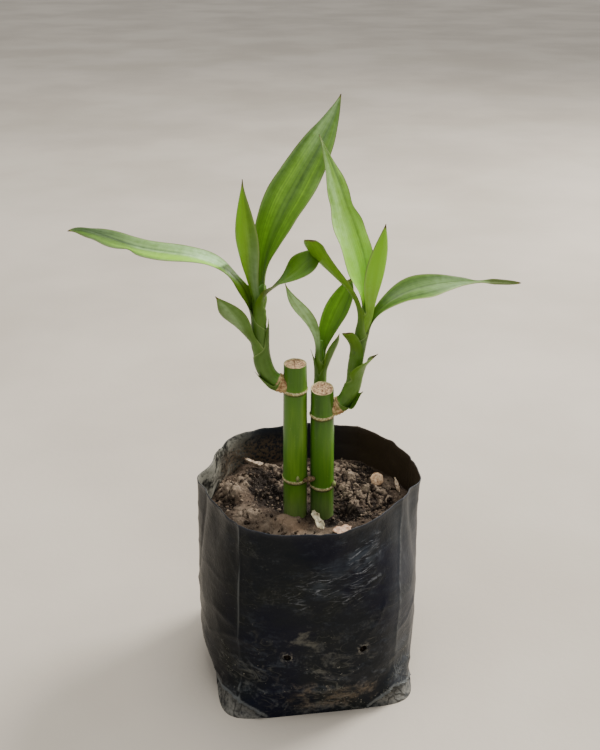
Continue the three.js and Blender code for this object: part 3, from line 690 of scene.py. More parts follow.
def caneSkin(plan):
    # radius runs from foot to top; each ring adds a lip, out times exp(-(gap/0.65)^2), and a groove
    # under it; the cut top is the same rings drawn in to the middle, on a tilted plane with torn fibre
    foot = canePlan["foot"]
    angle = turnsOf(canePlan["around"])
    topRise = math.tan(math.radians(plan["tilt"])) * plan["radii"][-1]
    ss, aa = grid(np.linspace(0, 1, int((plan["top"] - foot) / canePlan["step"])), angle)
    z = foot + (plan["top"] + topRise * np.sin(aa) - foot) * ss
    place = ringed(5, aa, z) + plan["seed"]
    radius = blendRun(plan["radii"], ss)
    ringMark, ringLow, under = 0 * z, 0 * z, 0 * z
    for k, ring in enumerate(plan["rings"]):
        gap = z - ring - canePlan["ringSlant"] * np.sin(aa) - 0.35 * cloud(place, 6, 30 + k, 2)
        lip = bell(gap, 0.65)
        radius += canePlan["ringOut"] * lip * (0.85 + 0.25 * cloud(place, 2, 33 + k, 2))
        radius = radius - 0.13 * bell(gap + 1.1, 0.5) + 0.12 * bell(gap - 1.8, 1.4)
        ringMark += lip
        ringLow += bell(gap + 1.05, 0.4)
        under += (gap < 0) * np.exp(np.minimum(gap, 0) / 6)
    radius += 0.05 * cloud(place * [1, 1, 0.2], 2.2, 36) + 0.08 * cloud(place, 9, 37, 2)
    wall = ringed(radius, aa, z)
    wall[..., 0] += plan["x"] + plan["leanX"] * ss
    wall[..., 1] += plan["y"]

    ii, bb = grid(np.linspace(1, 0.02, canePlan["cutRings"]) ** 0.8, angle)
    cut = ringed(radius[-1] * ii - 0.12 * (ii > 0.97), bb, 0 * ii) + [plan["x"] + plan["leanX"], plan["y"], 0]
    torn = 0.22 * cloud(cut, 1.6, plan["seed"], 3)
    cut[..., 2] = plan["top"] + topRise * np.sin(bb) * ii + 0.12 - 0.3 * easeUp(ii, 0.98, 0.86) + torn
    bright = plan["bright"] - plan["dark"] * easeUp(z - plan["rings"][1], -1, 3)
    marks = {       # on the wall, on the cut
        "cut": (0, 1),
        "ring": (ringMark, 0),
        "ringLow": (ringLow, 0),
        "fromMiddle": (1, ii),
        # darker where |cos| is near 1, at the skin's left and right edges as seen from the front: painted
        # shade
        "bright": (bright - 0.3 * under - 0.22 * easeUp(np.abs(np.cos(aa)), 0.8, 1), 0),
        "dusty": (easeUp(z, 98, 80), 0),
        # painted light: lighter towards one side of the skin, darker on the far side
        "sunny": (np.cos(aa - math.radians(canePlan["paintedLightFrom"])), 0),
    }
    return np.concatenate([wall, cut]), {
        mark: np.concatenate([onWall + 0 * z, onCut + 0 * ii]) for mark, (onWall, onCut) in marks.items()}


def budSkin(at, half, turn=0, brown=0):
    # a ball drawn out to a point on top, and laid over by turn degrees
    v, a = grid(np.linspace(0.06, np.pi - 0.06, 22), turnsOf(28))
    ball = ringed(np.sin(v) * (1 - 0.35 * np.clip(np.cos(v), 0, 1) ** 2), a, np.cos(v))
    ball = ball * (1 + 0.1 * cloud(ball, 0.6, 50, 2)[..., None]) * half
    return turnedBy(ball, (0, turn, 0)) + at, {"brown": 0 * v + brown, "high": np.cos(v)}


def caneFinish():
    # waxy green skin with fine upright streaks, tan ring scars, and a torn tan cut
    f = Finish("cane green", IOR=1.47, Specular_IOR_Level=0.25)
    ring, ringLow, cut, bright, sunny = f.marks("ring", "ringLow", "cut", "bright", "sunny")
    dusty, fromMiddle = f.marks("dusty", "fromMiddle")
    place = f.place()
    streaks = f.noise(f.scaled(place, (1, 1, 0.06)), 900, 2)
    wide = f.noise(f.scaled(place, (1, 1, 0.15)), 170, 2)
    specks = f.noise(place, 1500, 2)
    # the painted side light lifts one side of the skin and darkens the other
    tone = bright + sunny * 0.22 + (streaks - 0.5) * 0.4 + (wide - 0.5) * 1.0
    f.color = f.mix(tone.ease(-0.1, 0.6), (42, 74, 22), (80, 124, 34))
    f.coat(tone.ease(0.5, 1.1), (120, 162, 46))
    f.coat(specks.ease(0.66, 0.74) * 0.3, (150, 176, 92))
    f.coat(ringLow * 0.75, (70, 52, 26))
    f.coat(dusty * (0.35 + 0.4 * (wide - 0.5)), (126, 124, 96))
    tan = f.mix(specks.ease(0.4, 0.65), (160, 140, 90), (218, 208, 156))
    f.coat((ring + (specks - 0.5) * 0.4).ease(0.22, 0.5), tan)
    fibre = f.noise(place, 1300, 4, 0.7)
    pores = f.noise(place, 1150, 2, 0.5)
    pits = f.noise(f.scaled(place, (1, 0.55, 1)), 620, 2, 0.5)
    wood = f.mix(fibre.ease(0.3, 0.7), (138, 98, 66), (224, 192, 148))
    wood = f.mix(pores.ease(0.53, 0.62) * 0.8, wood, (88, 56, 40))
    wood = f.mix(pits.ease(0.5, 0.6) * 0.45, wood, (92, 66, 52))
    wood = f.mix(fromMiddle.ease(0.86, 0.94) * 0.7, wood, (206, 196, 144))
    f.coat(cut, wood)
    height = (streaks - 0.5) * 0.4 + specks * ring * 0.8 + fibre * cut * 2.5
    return f.paint(0.3 + 0.12 * (wide - 0.5) + 0.25 * ring + 0.5 * cut, height, 0.12)


def budFinish():
    f = Finish("bud scale", IOR=1.45, Specular_IOR_Level=0.35)
    brown, high = f.marks("brown", "high")
    grain = f.noise(f.scaled(f.place(), (1, 1, 0.4)), 1500, 3)
    f.color = f.mix(grain, (98, 128, 52), (176, 178, 112))
    f.coat(brown + (1 - high) * 0.3, f.mix(grain.ease(0.3, 0.7), (62, 44, 28), (138, 112, 76)))
    return f.paint(0.62 + 0.2 * (grain - 0.5), grain, 0.12)


def makeCanes():
    caneGreen, budScale = caneFinish(), budFinish()
    for name, plan in canePlans.items():
        addTube(f"{name}_skin", *caneSkin(plan), caneGreen, "cane", [name], 40)
        for k, bud in enumerate(plan["buds"]):
            addTube(f"{name}_bud_{k + 1}", *budSkin(**bud), budScale, "cane")
    print("canes ready")


makeCanes()


# Grow bag
bagPlan = {
    "height": 97, "film": 0.5, "around": 300, "levels": 104, "underRings": 10,
    "perDegree": 0.83,      # over the film
    "middleRadius": 48,     # of the places that its noises are read at
    # radius of the mouth every 15 degrees, from +X towards +Y
    "mouth": [49.7, 50.1, 50.5, 52.4, 52.9, 50.0, 49.4, 48.8, 49.9, 51.5, 47.6, 44.8,
              49.2, 46.1, 45.1, 46.0, 46.6, 46.1, 45.2, 44.9, 43.6, 42.5, 42.7, 44.8],
    "body": (50.3, 46.5, 2.3, 0), "base": (45.3, 44.3, 7, 7.6),    # half width, half depth, squareness, turn
    "baseEase": 20, "mouthEase": 45, "earHeight": 10, "earTuck": 1.6,
    "hole": 1.7, "holeStep": 1.05, "holeBlock": 2, "holeEase": 6,
    "holes": [(259, 34), (299, 36.5), (186, 22), (354, 28), (62, 36), (112, 32)],    # angle, height
    # sharp folds: how far they stand out, how wide, and their corners as angle and height
    "folds": [
        (0.4, 0.7, [(231.5, 97), (233, 60), (233.5, 16), (236, 6)]),
        (0.4, 0.7, [(336.9, 97), (336.5, 87.7), (324.7, 63.7), (320.2, 37.7), (319.4, 12.4)]),
        (0.8, 0.9, [(62, 97), (60, 50), (54, 12)]),
        (0.8, 0.9, [(149, 97), (147, 50), (143, 12)]),
        (-0.6, 1.2, [(194, 97), (193, 60), (191, 30)]),
        (-0.6, 1.2, [(17, 97), (16, 60), (12, 30)]),
        (0.8, 2.2, [(210.3, 33.1), (222, 38), (232.3, 40.2), (242.4, 39)]),
        (0.5, 2.5, [(205, 46), (215, 50), (228, 47)]),
        (0.45, 1.1, [(302.8, 44.1), (307.4, 48.5), (312, 56)]),
        (0.3, 1.0, [(294, 41), (300, 47), (303, 52)]),
        (0.5, 1.5, [(321.8, 37.9), (329.5, 38.9), (338, 44)]),
        (0.35, 1.8, [(240, 26), (252, 22), (262, 24)]),
        (0.35, 1.8, [(281, 27), (291, 22), (300, 24)]),
        (0.3, 3.0, [(250, 45), (268, 52), (284, 50)]),
        (0.35, 2.2, [(262, 84), (279, 78), (296, 80)]),
        (0.3, 1.4, [(286, 76), (297, 81), (309, 86)]),
        (0.4, 2.4, [(80, 60), (100, 52), (118, 56)]),
        (0.4, 2.0, [(95, 30), (120, 38), (135, 34)]),
        (0.5, 1.8, [(30, 40), (42, 46), (52, 42)]),
        (0.5, 1.8, [(168, 50), (178, 42), (186, 46)]),
    ],
    "creased": 2,           # how many of them, from the first, are also paler
    # corners tucked under at the base: the film drops back below each path
    "ears": [
        [(212, 6), (215.7, 7.6), (228, 8.8), (237.2, 6.7), (243.5, 4.2), (249.5, -0.6)],
        [(303, -0.6), (307.5, 4), (316.7, 8.3), (330.3, 5), (334, 3)],
        [(33, 3), (38, 6.5), (50, 8.8), (58, 6.5), (67, -0.6)],
        [(124, -0.6), (132, 4.5), (143, 8.5), (156, 6.5), (160, 4)],
    ],
    # dust and soil marks: angle, height, reach, strength
    "dust": [(264.6, 46.3, 7, 0.5), (268.9, 38.7, 8, 0.5), (241, 80, 9, 0.5), (252, 70, 10, 0.35),
             (286, 34, 9, 0.4), (277, 28, 10, 0.4), (300, 52, 8, 0.35), (312, 28, 8, 0.4),
             (323, 22, 8, 0.45), (225, 20, 9, 0.6), (216, 72, 12, 0.25), (205, 84, 12, 0.2),
             (240, 20, 8, 0.5), (40, 30, 14, 0.5), (90, 40, 16, 0.5), (130, 20, 14, 0.5), (170, 60, 16, 0.4)],
    "stains": [(252.4, 24, 7, 0.5), (265.7, 15.9, 8, 1.0), (281.8, 16, 9, 0.8), (293.4, 10.1, 8, 0.9),
               (304.2, 10.7, 7, 0.8), (272, 6, 12, 0.6), (80, 12, 12, 0.7), (110, 9, 12, 0.7),
               (190, 9, 8, 0.6)],
    "scuffs": [(286.5, 90, 6, 0.5), (300, 82, 8, 1.0), (312, 84, 7, 0.9), (293, 76, 9, 1.2),
               (276, 73, 9, 1.0), (262, 60, 8, 0.4), (308, 70, 6, 0.5), (300, 58, 9, 0.5),
               (285, 52, 8, 0.35), (60, 70, 12, 0.5), (150, 66, 12, 0.5), (20, 60, 10, 0.4)],
}


def ovalRadius(angle, halfWidth, halfDepth, square, turn):
    # superellipse: (|cos/a|^p + |sin/b|^p)^(-1/p)
    angle = angle - math.radians(turn)
    across, deep = np.abs(np.cos(angle) / halfWidth), np.abs(np.sin(angle) / halfDepth)
    return (across ** square + deep ** square) ** (-1 / square)


def bagRadius(angle, z):
    # the body's oval goes over into the squarer base below and into the wavy mouth above; the base's
    # corners are tucked in a little at ear height
    mouth = np.array(bagPlan["mouth"])
    place = np.mod(angle / (2 * np.pi), 1) * len(mouth)
    k = np.floor(place).astype(int)
    part = easeUp(place - k, 0, 1)
    mouthRadius = mouth[k % len(mouth)] * (1 - part) + mouth[(k + 1) % len(mouth)] * part
    low = easeUp(z, bagPlan["baseEase"], 0)
    high = easeUp(z, bagPlan["mouthEase"], bagPlan["height"])
    radius = ovalRadius(angle, *bagPlan["body"]) * (1 - low) + ovalRadius(angle, *bagPlan["base"]) * low
    radius = radius * (1 - high) + mouthRadius * high
    corner = easeUp(np.abs(np.cos(angle - math.radians(bagPlan["base"][3]))), 0.45, 0.85)
    tuck = np.maximum(0, 1 - np.abs(z / bagPlan["earHeight"] - 0.6) / 0.6)
    return radius - bagPlan["earTuck"] * tuck * corner


def degreesFrom(middle, angle):
    # from a middle in degrees to an angle in radians, the short way round
    return np.mod(np.degrees(angle) - middle + 180, 360) - 180


def overFilm(middle, angle):
    return degreesFrom(middle, angle) * bagPlan["perDegree"]


def fromPath(angle, z, path):
    # distance over the film to a path, negative over the path and positive under it (towards the base)
    near = np.full(angle.shape, 1e9)
    under = np.zeros(angle.shape, bool)
    for (a0, z0), (a1, z1) in zip(path, path[1:]):
        x, y = overFilm(a0, angle), z - z0
        dx, dy = (a1 - a0) * bagPlan["perDegree"], z1 - z0
        share = np.clip((x * dx + y * dy) / (dx * dx + dy * dy), 0, 1)
        away = np.hypot(x - share * dx, y - share * dy)
        under = np.where(away < near, (dx * y - dy * x) * np.sign(dx) < 0, under)
        near = np.minimum(near, away)
    return np.where(under, near, -near)


def bagRelief(angle, z):
    # folds as out * exp(-(away/wide)^1.3), the step under each ear, soft swells, crinkles and the free
    # film's waves; also how far a place is on an ear's facet, held back under the fold as a painted shadow
    # line, and on a pale crease or the painted highlight just over an ear's fold
    place = ringed(bagPlan["middleRadius"], angle, z)
    total = 0.6 * cloud(place, 26, 70, 2)
    facet, paleCreaseAndFoldHighlight = 0, 0
    for k, (out, wide, path) in enumerate(bagPlan["folds"]):
        away = np.abs(fromPath(angle, z, path))
        total += out * np.exp(-(away / wide) ** 1.3)
        if k < bagPlan["creased"]:
            paleCreaseAndFoldHighlight += bell(away, 0.5)
    for path in bagPlan["ears"]:
        under = fromPath(angle, z, path)
        away = np.abs(under)
        inEar = easeUp(z, 12, 9) * easeUp(overFilm(path[0][0], angle), -0.5, 0.5)
        inEar = inEar * easeUp(overFilm(path[-1][0], angle), 0.5, -0.5)
        below = easeUp(under, -0.3, 0.5)
        total += inEar * (0.8 * (1 - below) * np.exp(-away / 1.6) - 2.2 * below * np.exp(-away / 6))
        # the facet's mark stops about 1.4 mm under the fold, so a dark painted shadow line is left there
        facet += below * inEar * (1 - bell(away, 1.4))
        # a pale line just over each ear's fold: painted highlight
        paleCreaseAndFoldHighlight += 1.5 * inEar * bell(under + 0.9, 0.9)
    ridges = 1 - 2 * np.abs(cloud(place * [1, 1, 1.5], 15, 71, 2))
    fine = 1 - 2 * np.abs(cloud(place * [1, 1, 1.3], 6, 74, 2))
    low, high = easeUp(z, 40, 8), easeUp(z, 78, 96)
    total += (0.22 + 0.4 * low) * np.clip(ridges, 0, 1) ** 3 * (0.4 + 0.6 * easeUp(z, 0, 5))
    total += (0.03 + 0.16 * low) * np.clip(fine, 0, 1) ** 3 * easeUp(z, 0, 4)
    total += high * 0.8 * cloud(place * [1, 1, 0.25], 13, 77, 2)
    return total * (0.2 + 0.8 * easeUp(z, 0, 2.5)), facet, paleCreaseAndFoldHighlight


def bagSkin():
    # rings: out over the underside, up the outer wall, over the lip, down the inner wall and in again.
    # Round each drain hole the grid is drawn onto circles, and the cells inside go from both walls.
    around, levels, film, top = (bagPlan[key] for key in ("around", "levels", "film", "underRings"))
    share = np.linspace(0, 1, levels)
    ss, aa = grid(share - 0.35 * share * (1 - share) * (1 - share), turnsOf(around))
    lip = ringed(bagPlan["middleRadius"], aa, 0 * aa)
    z = ss * (bagPlan["height"] + 1.1 * cloud(lip, 17, 80, 2) + 0.5 * cloud(lip, 5, 83, 2))
    holeMark = 0 * z
    rows, columns = grid(np.arange(levels), np.arange(around))
    blocks = []
    block = bagPlan["holeBlock"]
    for holeAngle, holeHeight in bagPlan["holes"]:
        row = int(np.abs(z[:, int(holeAngle / 360 * around)] - holeHeight).argmin())
        column = int(round(holeAngle / 360 * around)) % around
        blocks.append((row, column))
        side = (columns - column + around // 2) % around - around // 2
        n = np.maximum(np.abs(side), np.abs(rows - row))
        middle, middleZ = math.degrees(aa[row, column]), z[row, column]
        radius = bagRadius(aa[row, column], middleZ)
        x, y = np.radians(degreesFrom(middle, aa)) * radius, z - middleZ
        weight = np.where(n >= block, easeUp(n, block + bagPlan["holeEase"], block), 0)
        circle = bagPlan["hole"] + (n - block) * bagPlan["holeStep"]
        pull = weight * (circle / (np.hypot(x, y) + 1e-9) - 1)
        shift = math.radians(degreesFrom(middle, math.radians(holeAngle)))
        aa += np.where(weight > 0, x * pull / radius + weight * shift, 0)
        z += np.where(weight > 0, y * pull + weight * (holeHeight - middleZ), 0)
        holeMark += np.where(n == block, 1.0, np.where(n == block + 1, 0.35, 0))
    relief, facet, paleCreaseAndFoldHighlight = bagRelief(aa, z)
    radius = bagRadius(aa, z) + relief + 0.35 * easeUp(ss, 0.97, 1) + 0.25 * holeMark
    outer = ringed(radius, aa, z)
    inner = ringed(radius - film, aa, np.maximum(z, film))[::-1]
    shares = np.linspace(0.03, 0.985, top)[:, None, None]
    under = outer[:1] * shares * [1, 1, 0] + [0, 0, 0.25] * np.sin(np.pi * shares) ** 0.5
    over = (inner[-1:] * shares * [1, 1, 0])[::-1] + [0, 0, film + 0.3]
    rings = np.concatenate([under, outer, ringed(radius - film / 2, aa, z + 0.12)[-1:], inner, over])

    def allRows(wall, onLip=None, inside=None):
        # one mark over all rings; lip and inner wall are as the outer wall unless told otherwise
        blank = np.zeros((top, around))
        lipRow = wall[-1:] if onLip is None else onLip + blank[:1]
        innerWall = wall[::-1] if inside is None else inside + 0 * wall
        return withEnds(np.concatenate([blank, wall, lipRow, innerWall, blank]))

    def patchesOf(key):
        return patches(lambda middle, height: np.hypot(overFilm(middle, aa), z - height), bagPlan[key])

    place = ringed(bagPlan["middleRadius"], aa, z)
    patchy = cloud(place, 9, 90) * 0.7 + cloud(place, 3, 93) * 0.5
    marks = {
        "inside": allRows(0 * z, 0, 1),
        "dust": allRows(patchesOf("dust") * (0.6 + patchy) + 0.25 * easeUp(z, 22, 4)),
        "stain": allRows(patchesOf("stains") * (0.65 + patchy)),
        "scuff": allRows(patchesOf("scuffs") * (0.7 + 0.6 * patchy)),
        "facet": allRows(facet),
        "paleCreaseAndFoldHighlight": allRows(paleCreaseAndFoldHighlight, 0, 0),
        "holeRim": allRows(holeMark),
        "lip": allRows(easeUp(ss, 0.985, 1), 1),
        "high": allRows(z / bagPlan["height"]),
    }
    quads, triangles = tubeFaces(len(rings), around)
    keep = np.ones(len(quads), bool)
    stitches = []
    steps = np.arange(-block, block)
    ends = 0 * steps + block
    j, i = grid(steps, steps)
    for row, column in blocks:
        down = np.concatenate([-ends, steps, ends, -steps])
        side = np.concatenate([steps, ends, -steps, -ends])
        outerLoop = (top + row + down) * around + (column + side) % around
        innerLoop = (top + 2 * levels - row - down) * around + (column + side) % around
        stitches.append(np.stack([outerLoop, np.roll(outerLoop, -1), np.roll(innerLoop, -1), innerLoop], 1))
        for ring in (top + row + j, top + 2 * levels - row - 1 - j):
            keep[ring * around + (column + i) % around] = False
    return withEnds(rings), np.concatenate([quads[keep], *stitches]), triangles, marks


def filmFinish():
    # black polythene: blue-black, browner to the left, with smoky dust, wrinkle lines, stains and scuffs, and
    # a pale sheen painted over its right side
    f = Finish("black film", IOR=1.5, Specular_IOR_Level=0.12)
    inside, dust, stain, scuff, facet = f.marks("inside", "dust", "stain", "scuff", "facet")
    paleCreaseAndFoldHighlight, holeRim, lip, high = f.marks("paleCreaseAndFoldHighlight", "holeRim", "lip", "high")
    place = f.place()
    x, y, z = f.parts(place)
    smudge = f.noise(place, 60, 4, 0.6)
    grain = f.noise(place, 700, 4, 0.65)
    soft = f.noise(place, 26, 3, 0.55, 0.4)
    drawn = f.noise(f.scaled(place, (1, 1, 2.4)), 85, 4, 0.64, 0.6)
    wavy = f.noise(f.scaled(place, (1, 1, 1.6)), 52, 2, 0.5, 1.8)
    wrinkle = 1 - (abs(wavy - 0.5) * 26).ease(0, 1)
    low, leftSide = (1 - high).ease(0.4, 0.9), (x * -1).ease(0.02, 0.042)

    def scratches(cosine, sine, fineness):
        # thin lines that run in one direction across the front
        along, over = x * cosine + z * sine, z * cosine - x * sine
        return f.noise(f.joined(along * 120, y * 40, over * fineness), 1.0, 2, 0.5, 0.7).ease(0.57, 0.68)

    f.color = f.mix(soft.ease(0.38, 0.6), (2, 6, 25), (10, 16, 23))
    f.coat(smudge.ease(0.5, 0.64) * 0.5, (20, 24, 20))
    f.coat(leftSide * 0.6, (17, 17, 11))
    # painted sheen: pale blue-grey over the right side panel, standing for light from the right
    f.coat(x.ease(0.032, 0.042) * (0.12 + 0.3 * drawn), (84, 88, 92))
    haze = (drawn * 0.7 + grain * 0.3).ease(0.5, 0.66)
    f.coat(haze * (0.16 + 0.42 * low) * (1 - 0.75 * leftSide), (68, 75, 84))
    dust = dust * (0.1 + 1.3 * drawn.ease(0.36, 0.7)) + (grain - 0.5) * 0.9
    f.coat(dust.ease(0.1, 0.9) * (0.6 - 0.25 * leftSide), (108, 105, 93))
    folded = wrinkle * smudge.ease(0.44, 0.6) * (0.1 + 0.7 * low)
    f.coat(folded * 0.42, (118, 117, 108))
    stain = stain * (0.2 + 2.4 * (drawn - 0.34)) * (0.3 + 1.6 * (grain - 0.3))
    f.coat(stain.ease(0.1, 0.6) * 0.62, (112, 99, 82))
    f.coat(scuff.ease(0.1, 1.0) * drawn.ease(0.42, 0.66) * 0.24, (92, 102, 112))
    lines = scratches(0.94, 0.34, 1000).greater(scratches(0.99, -0.14, 1300))
    lines = lines * (scuff * 1.1 + (smudge - 0.52) * 2.2).ease(0.25, 0.95) * grain.ease(0.3, 0.62)
    f.coat(lines * 0.68, (150, 154, 160))
    specks = (f.noise(place, 900, 2) + (smudge - 0.5) * 0.4).ease(0.7, 0.76)
    f.coat(specks * (0.15 + 0.6 * low), (140, 136, 124))
    # pale rubbed dust on the ear facets, left off under the fold as a painted shadow line
    rubbed = facet * (0.25 + 1.6 * (drawn - 0.3) + 1.2 * (grain - 0.5))
    f.coat(rubbed.ease(0.05, 0.9) * 0.7, (134, 131, 122))
    f.coat(facet * wrinkle * 0.7, (30, 29, 27))
    # pale creases, and the painted highlight along each ear's fold
    f.coat(paleCreaseAndFoldHighlight.ease(0.25, 1.1) * (0.2 + smudge * 0.6), (116, 119, 118))
    f.coat(holeRim * grain.ease(0.42, 0.62) * 0.6, (140, 134, 122))
    # a pale grey line over the lip: painted highlight along the rim
    f.coat(lip * 0.3, (84, 84, 86))
    f.coat(inside * 0.75, (40, 42, 46))
    f.coat(inside * x.ease(0.0, 0.035) * 0.75, (66, 52, 33))
    dusty = f.mix((drawn * 0.6 + grain * 0.4).ease(0.4, 0.6), (28, 28, 24), (146, 143, 130))
    f.coat(inside * leftSide * (0.55 + 0.6 * smudge), dusty)
    soiled = inside * (x * -1).ease(-0.005, 0.02) * y.ease(0.015, 0.035) * (z * -1).ease(-0.096, -0.086)
    f.coat(soiled * grain.ease(0.42, 0.56) * 0.8, (96, 80, 62))
    roughness = 0.38 + 0.3 * dust.ease(0, 1) + 0.25 * stain.ease(0, 1) + 0.25 * rubbed + 0.14 * (smudge - 0.5)
    height = smudge * 0.9 + grain * (0.35 + 0.5 * soiled) + lines * 0.3 + folded * 1.2
    return f.paint(roughness, height, 0.35)


def makeBag():
    points, quads, triangles, marks = bagSkin()
    mesh = makeMesh("grow_bag_film", points, quads, triangles, marks, 70)
    addPiece("grow_bag_film", mesh, filmFinish(), ["grow_bag"])
    print("grow bag ready")


makeBag()


# Soil
soilPlan = {
    "level": 81, "edgeLevel": 78.5, "radius": 46.5, "around": 560, "rings": 150,
    "wallHeights": [2, 2, 6, 12, 20, 34, 50, 64, 72, 76, 78],
    # heaps and hollows, as the solid has them: x, y, reach, height
    "heaps": [(-24, -8, 13, 3), (-28, 30, 15, 2.4), (26, -14, 12, 2.2), (22, 8, 13, 1.8), (41, 9, 11, 3),
              (0, 28, 16, 1.5), (-14, -24, 11, -1.2), (-35, 15, 9, 2.6), (-21, 19, 7, -2.8),
              (-15, 3, 7, -2.8), (-12, 16, 7.5, 2.4), (-37, 3, 7, -3.4), (-37, 34, 6, -2.2),
              (-14, 41, 7, -2.4), (16, 37, 7.5, 2.2), (18, 22, 9, 2.2), (28, 9, 6.5, 1.6),
              (34, 34, 7, -2.6), (21, 1, 7, 2), (17, -8, 5.5, -2.2), (10, 12, 6.5, -1.8),
              (-1, 15, 7, 1.6), (-9, -15.5, 6, 1.6), (-41, -7, 6, -1.6), (37, -20, 7, -1.8)],
    # places: x, y, reach, strength
    "rough": [(-19, 20, 9, 1), (-15, 4, 7, 1.1), (-12, 31, 10, 0.9), (18, 26, 14, 1), (24, 6, 11, 1),
              (18, -5, 7, 1), (28, 38, 9, 0.8), (-37, 4, 5, 0.7), (0, 20, 10, 0.8), (6, 36, 10, 0.7),
              (-32, 22, 9, 0.35), (34, -2, 8, 0.7), (36, 14, 8, 0.6), (24, -12, 6, 0.6),
              (-28, -11, 8, 0.5), (-13, -17, 7, 0.5), (-38, 13, 8, 0.5), (-22, 6, 6, 0.5), (-2, -24, 7, 0.4)],
    # dark: darker soil, and painted shadow in crevices, hollows and along the film at the back
    "dark": [(-33, -2, 5, 0.5), (-22, -3, 4, 0.5), (-26, 27, 5, 1.1), (-21, 17, 5.5, 1.2), (-16, 6, 5.5, 1.3),
             (-13, -2, 4, 1), (-38, 2.5, 4, 1.6), (-23, 44, 8, 1.1), (-38, 34, 5, 0.9), (33, 38, 9, 1.1),
             (9.5, -12, 3.5, 1), (-23, 26, 4, 0.7), (-20, 17, 5, 0.9), (-14, 3, 5.5, 1.1), (0, -1, 7, 0.8),
             (11, 8, 5, 0.8), (43, 20, 5, 0.7), (17, -8, 4.5, 1.1), (40, -4, 7, 0.6), (8, 44, 8, 0.6),
             (23, -6, 3.5, 0.8), (30, 2, 2.5, 0.6), (28, 20, 3, 0.5)],
    "pale": [(-34, 12, 5, 0.8), (-17, 34, 3.5, 0.6), (-30, -9, 10, 0.55), (-14, -22, 10, 0.8),
             (-27, 18, 5, 0.5), (36, 26, 6, 0.5), (36, -8, 9, 0.6), (-44, 26, 5, 0.6), (12, -26, 9, 0.75),
             (0, -24, 8, 0.7), (20, 12, 10, 0.5), (30, 8, 4, 0.5), (36, 18, 5, 0.4), (-9, -14, 6, 0.5)],
    "red": [(-9, -14, 7, 1), (-4, -16, 5, 0.6)],
    # lone clods with steep sides: x, y, reach, height
    "lumps": [(-35, 11.5, 5, 2.0), (-9, -13.5, 6.5, 1.8), (-17, 34, 3, 1.4), (-24, -9, 4, 0.8),
              (-31, -3, 4, 0.7), (-29, 22, 5.5, 1.4), (38, 19, 1.8, 1.2), (29, 11, 4, 1.3), (19, 8, 4, 1.2),
              (22, 25, 4.5, 1.2), (-21, 13, 4.5, 1.4), (15, 33, 5, 0.9), (-8, 29, 5, 1.1), (20, -3, 3.5, 1.1),
              (-40, 20, 4, 0.9), (-20, -17, 3, 0.6), (27, -20, 3.5, 0.7)],
    "clods": [(9, 1.5, 1.8, 120), (4.4, 0.8, 0.9, 125)],      # cell, height, depth of the cracks, seed
    # the hole is also added to the dark mark: painted shade in the hollow
    "hole": [(9.5, -12.3, 2.6, 1)], "holeDeep": 2.2,     # the hollow between the chips and the right cane
    "crumbs": 900, "crumbSize": (0.25, 1.3), "seed": 5,
    "canesAt": [(-5.6, -5), (6.3, -5)], "crumbsClear": 6.2,      # no crumbs within this of a cane's middle
}


def soilTop(x, y):
    # the solid's level and heaps, height * (1 - (away/reach)^2) each, plus lone lumps, flat-topped clods
    # of two sizes with cracks between where it is rough, and grain everywhere
    def patchesOf(key):
        return patches(lambda px, py: np.hypot(x - px, y - py), soilPlan[key])

    drop = easeUp(np.hypot(x, y) / soilPlan["radius"], 0.75, 1.05)
    level = soilPlan["level"] + (soilPlan["edgeLevel"] - soilPlan["level"]) * drop
    for px, py, reach, height in soilPlan["heaps"]:
        level += height * np.maximum(0, 1 - ((x - px) ** 2 + (y - py) ** 2) / reach ** 2)
    flat = np.stack([x, y, 0 * x], -1)
    wx, wy = x + 2.2 * cloud(flat, 7, 100, 3), y + 2.2 * cloud(flat + 50, 7, 103, 3)
    rough = easeUp(patchesOf("rough") + 0.25 * cloud(flat, 9, 106), 0.15, 0.85)
    detail, crack = 0, 0
    for px, py, reach, height in soilPlan["lumps"]:
        away = np.hypot(wx - px, wy - py) / reach
        detail += height * easeUp(away, 1, 0.62) * (1 + 0.3 * cloud(flat, 3, 110, 2))
    for cell, height, deep, seed in soilPlan["clods"]:
        near, nextNear, own = pebbled(wx, wy, cell, seed)
        edge = np.exp(-(nextNear - near) / (0.07 * cell))
        tilt = 0.12 * ((wx * np.cos(own * 40) + wy * np.sin(own * 40)) % cell - cell / 2) * (1 - edge)
        detail += rough * (height * (own - 0.5) * (1 - edge) + tilt - deep * edge * (0.25 + own))
        crack += 0.8 * rough * edge * (0.3 + own)
    crumbly = np.abs(cloud(flat, 3.4, 130, 4))
    detail += (0.35 + 1.3 * rough) * (crumbly - 0.22)
    detail += rough * (0.2 - np.abs(cloud(flat, 2.6, 150, 3)))
    detail += 0.45 * cloud(flat, 7, 133) + 0.16 * cloud(flat, 1.2, 136, 3)
    crack += 0.8 * rough * easeUp(crumbly, 0.10, 0.0)
    hole = patchesOf("hole")
    detail = detail - soilPlan["holeDeep"] * hole
    # painted shade: darker in cracks, in the hole and where the surface lies low; painted light: paler on
    # raised tops, besides the pale dusty patches
    dark = patchesOf("dark") + 0.9 * crack + hole + 0.8 * easeUp(-detail, 0.1, 1.4)
    pale = patchesOf("pale") + 0.9 * rough * easeUp(detail, -0.1, 1.0) + 0.3 * easeUp(detail, 0, 1.2)
    return level + detail, {
        "dark": np.clip(dark, 0, 1.5),
        "pale": pale * (0.8 + 0.6 * cloud(flat, 5, 140)),
        "red": patchesOf("red") * (0.9 + 0.5 * cloud(flat, 4, 143)),
        "rough": rough,
    }


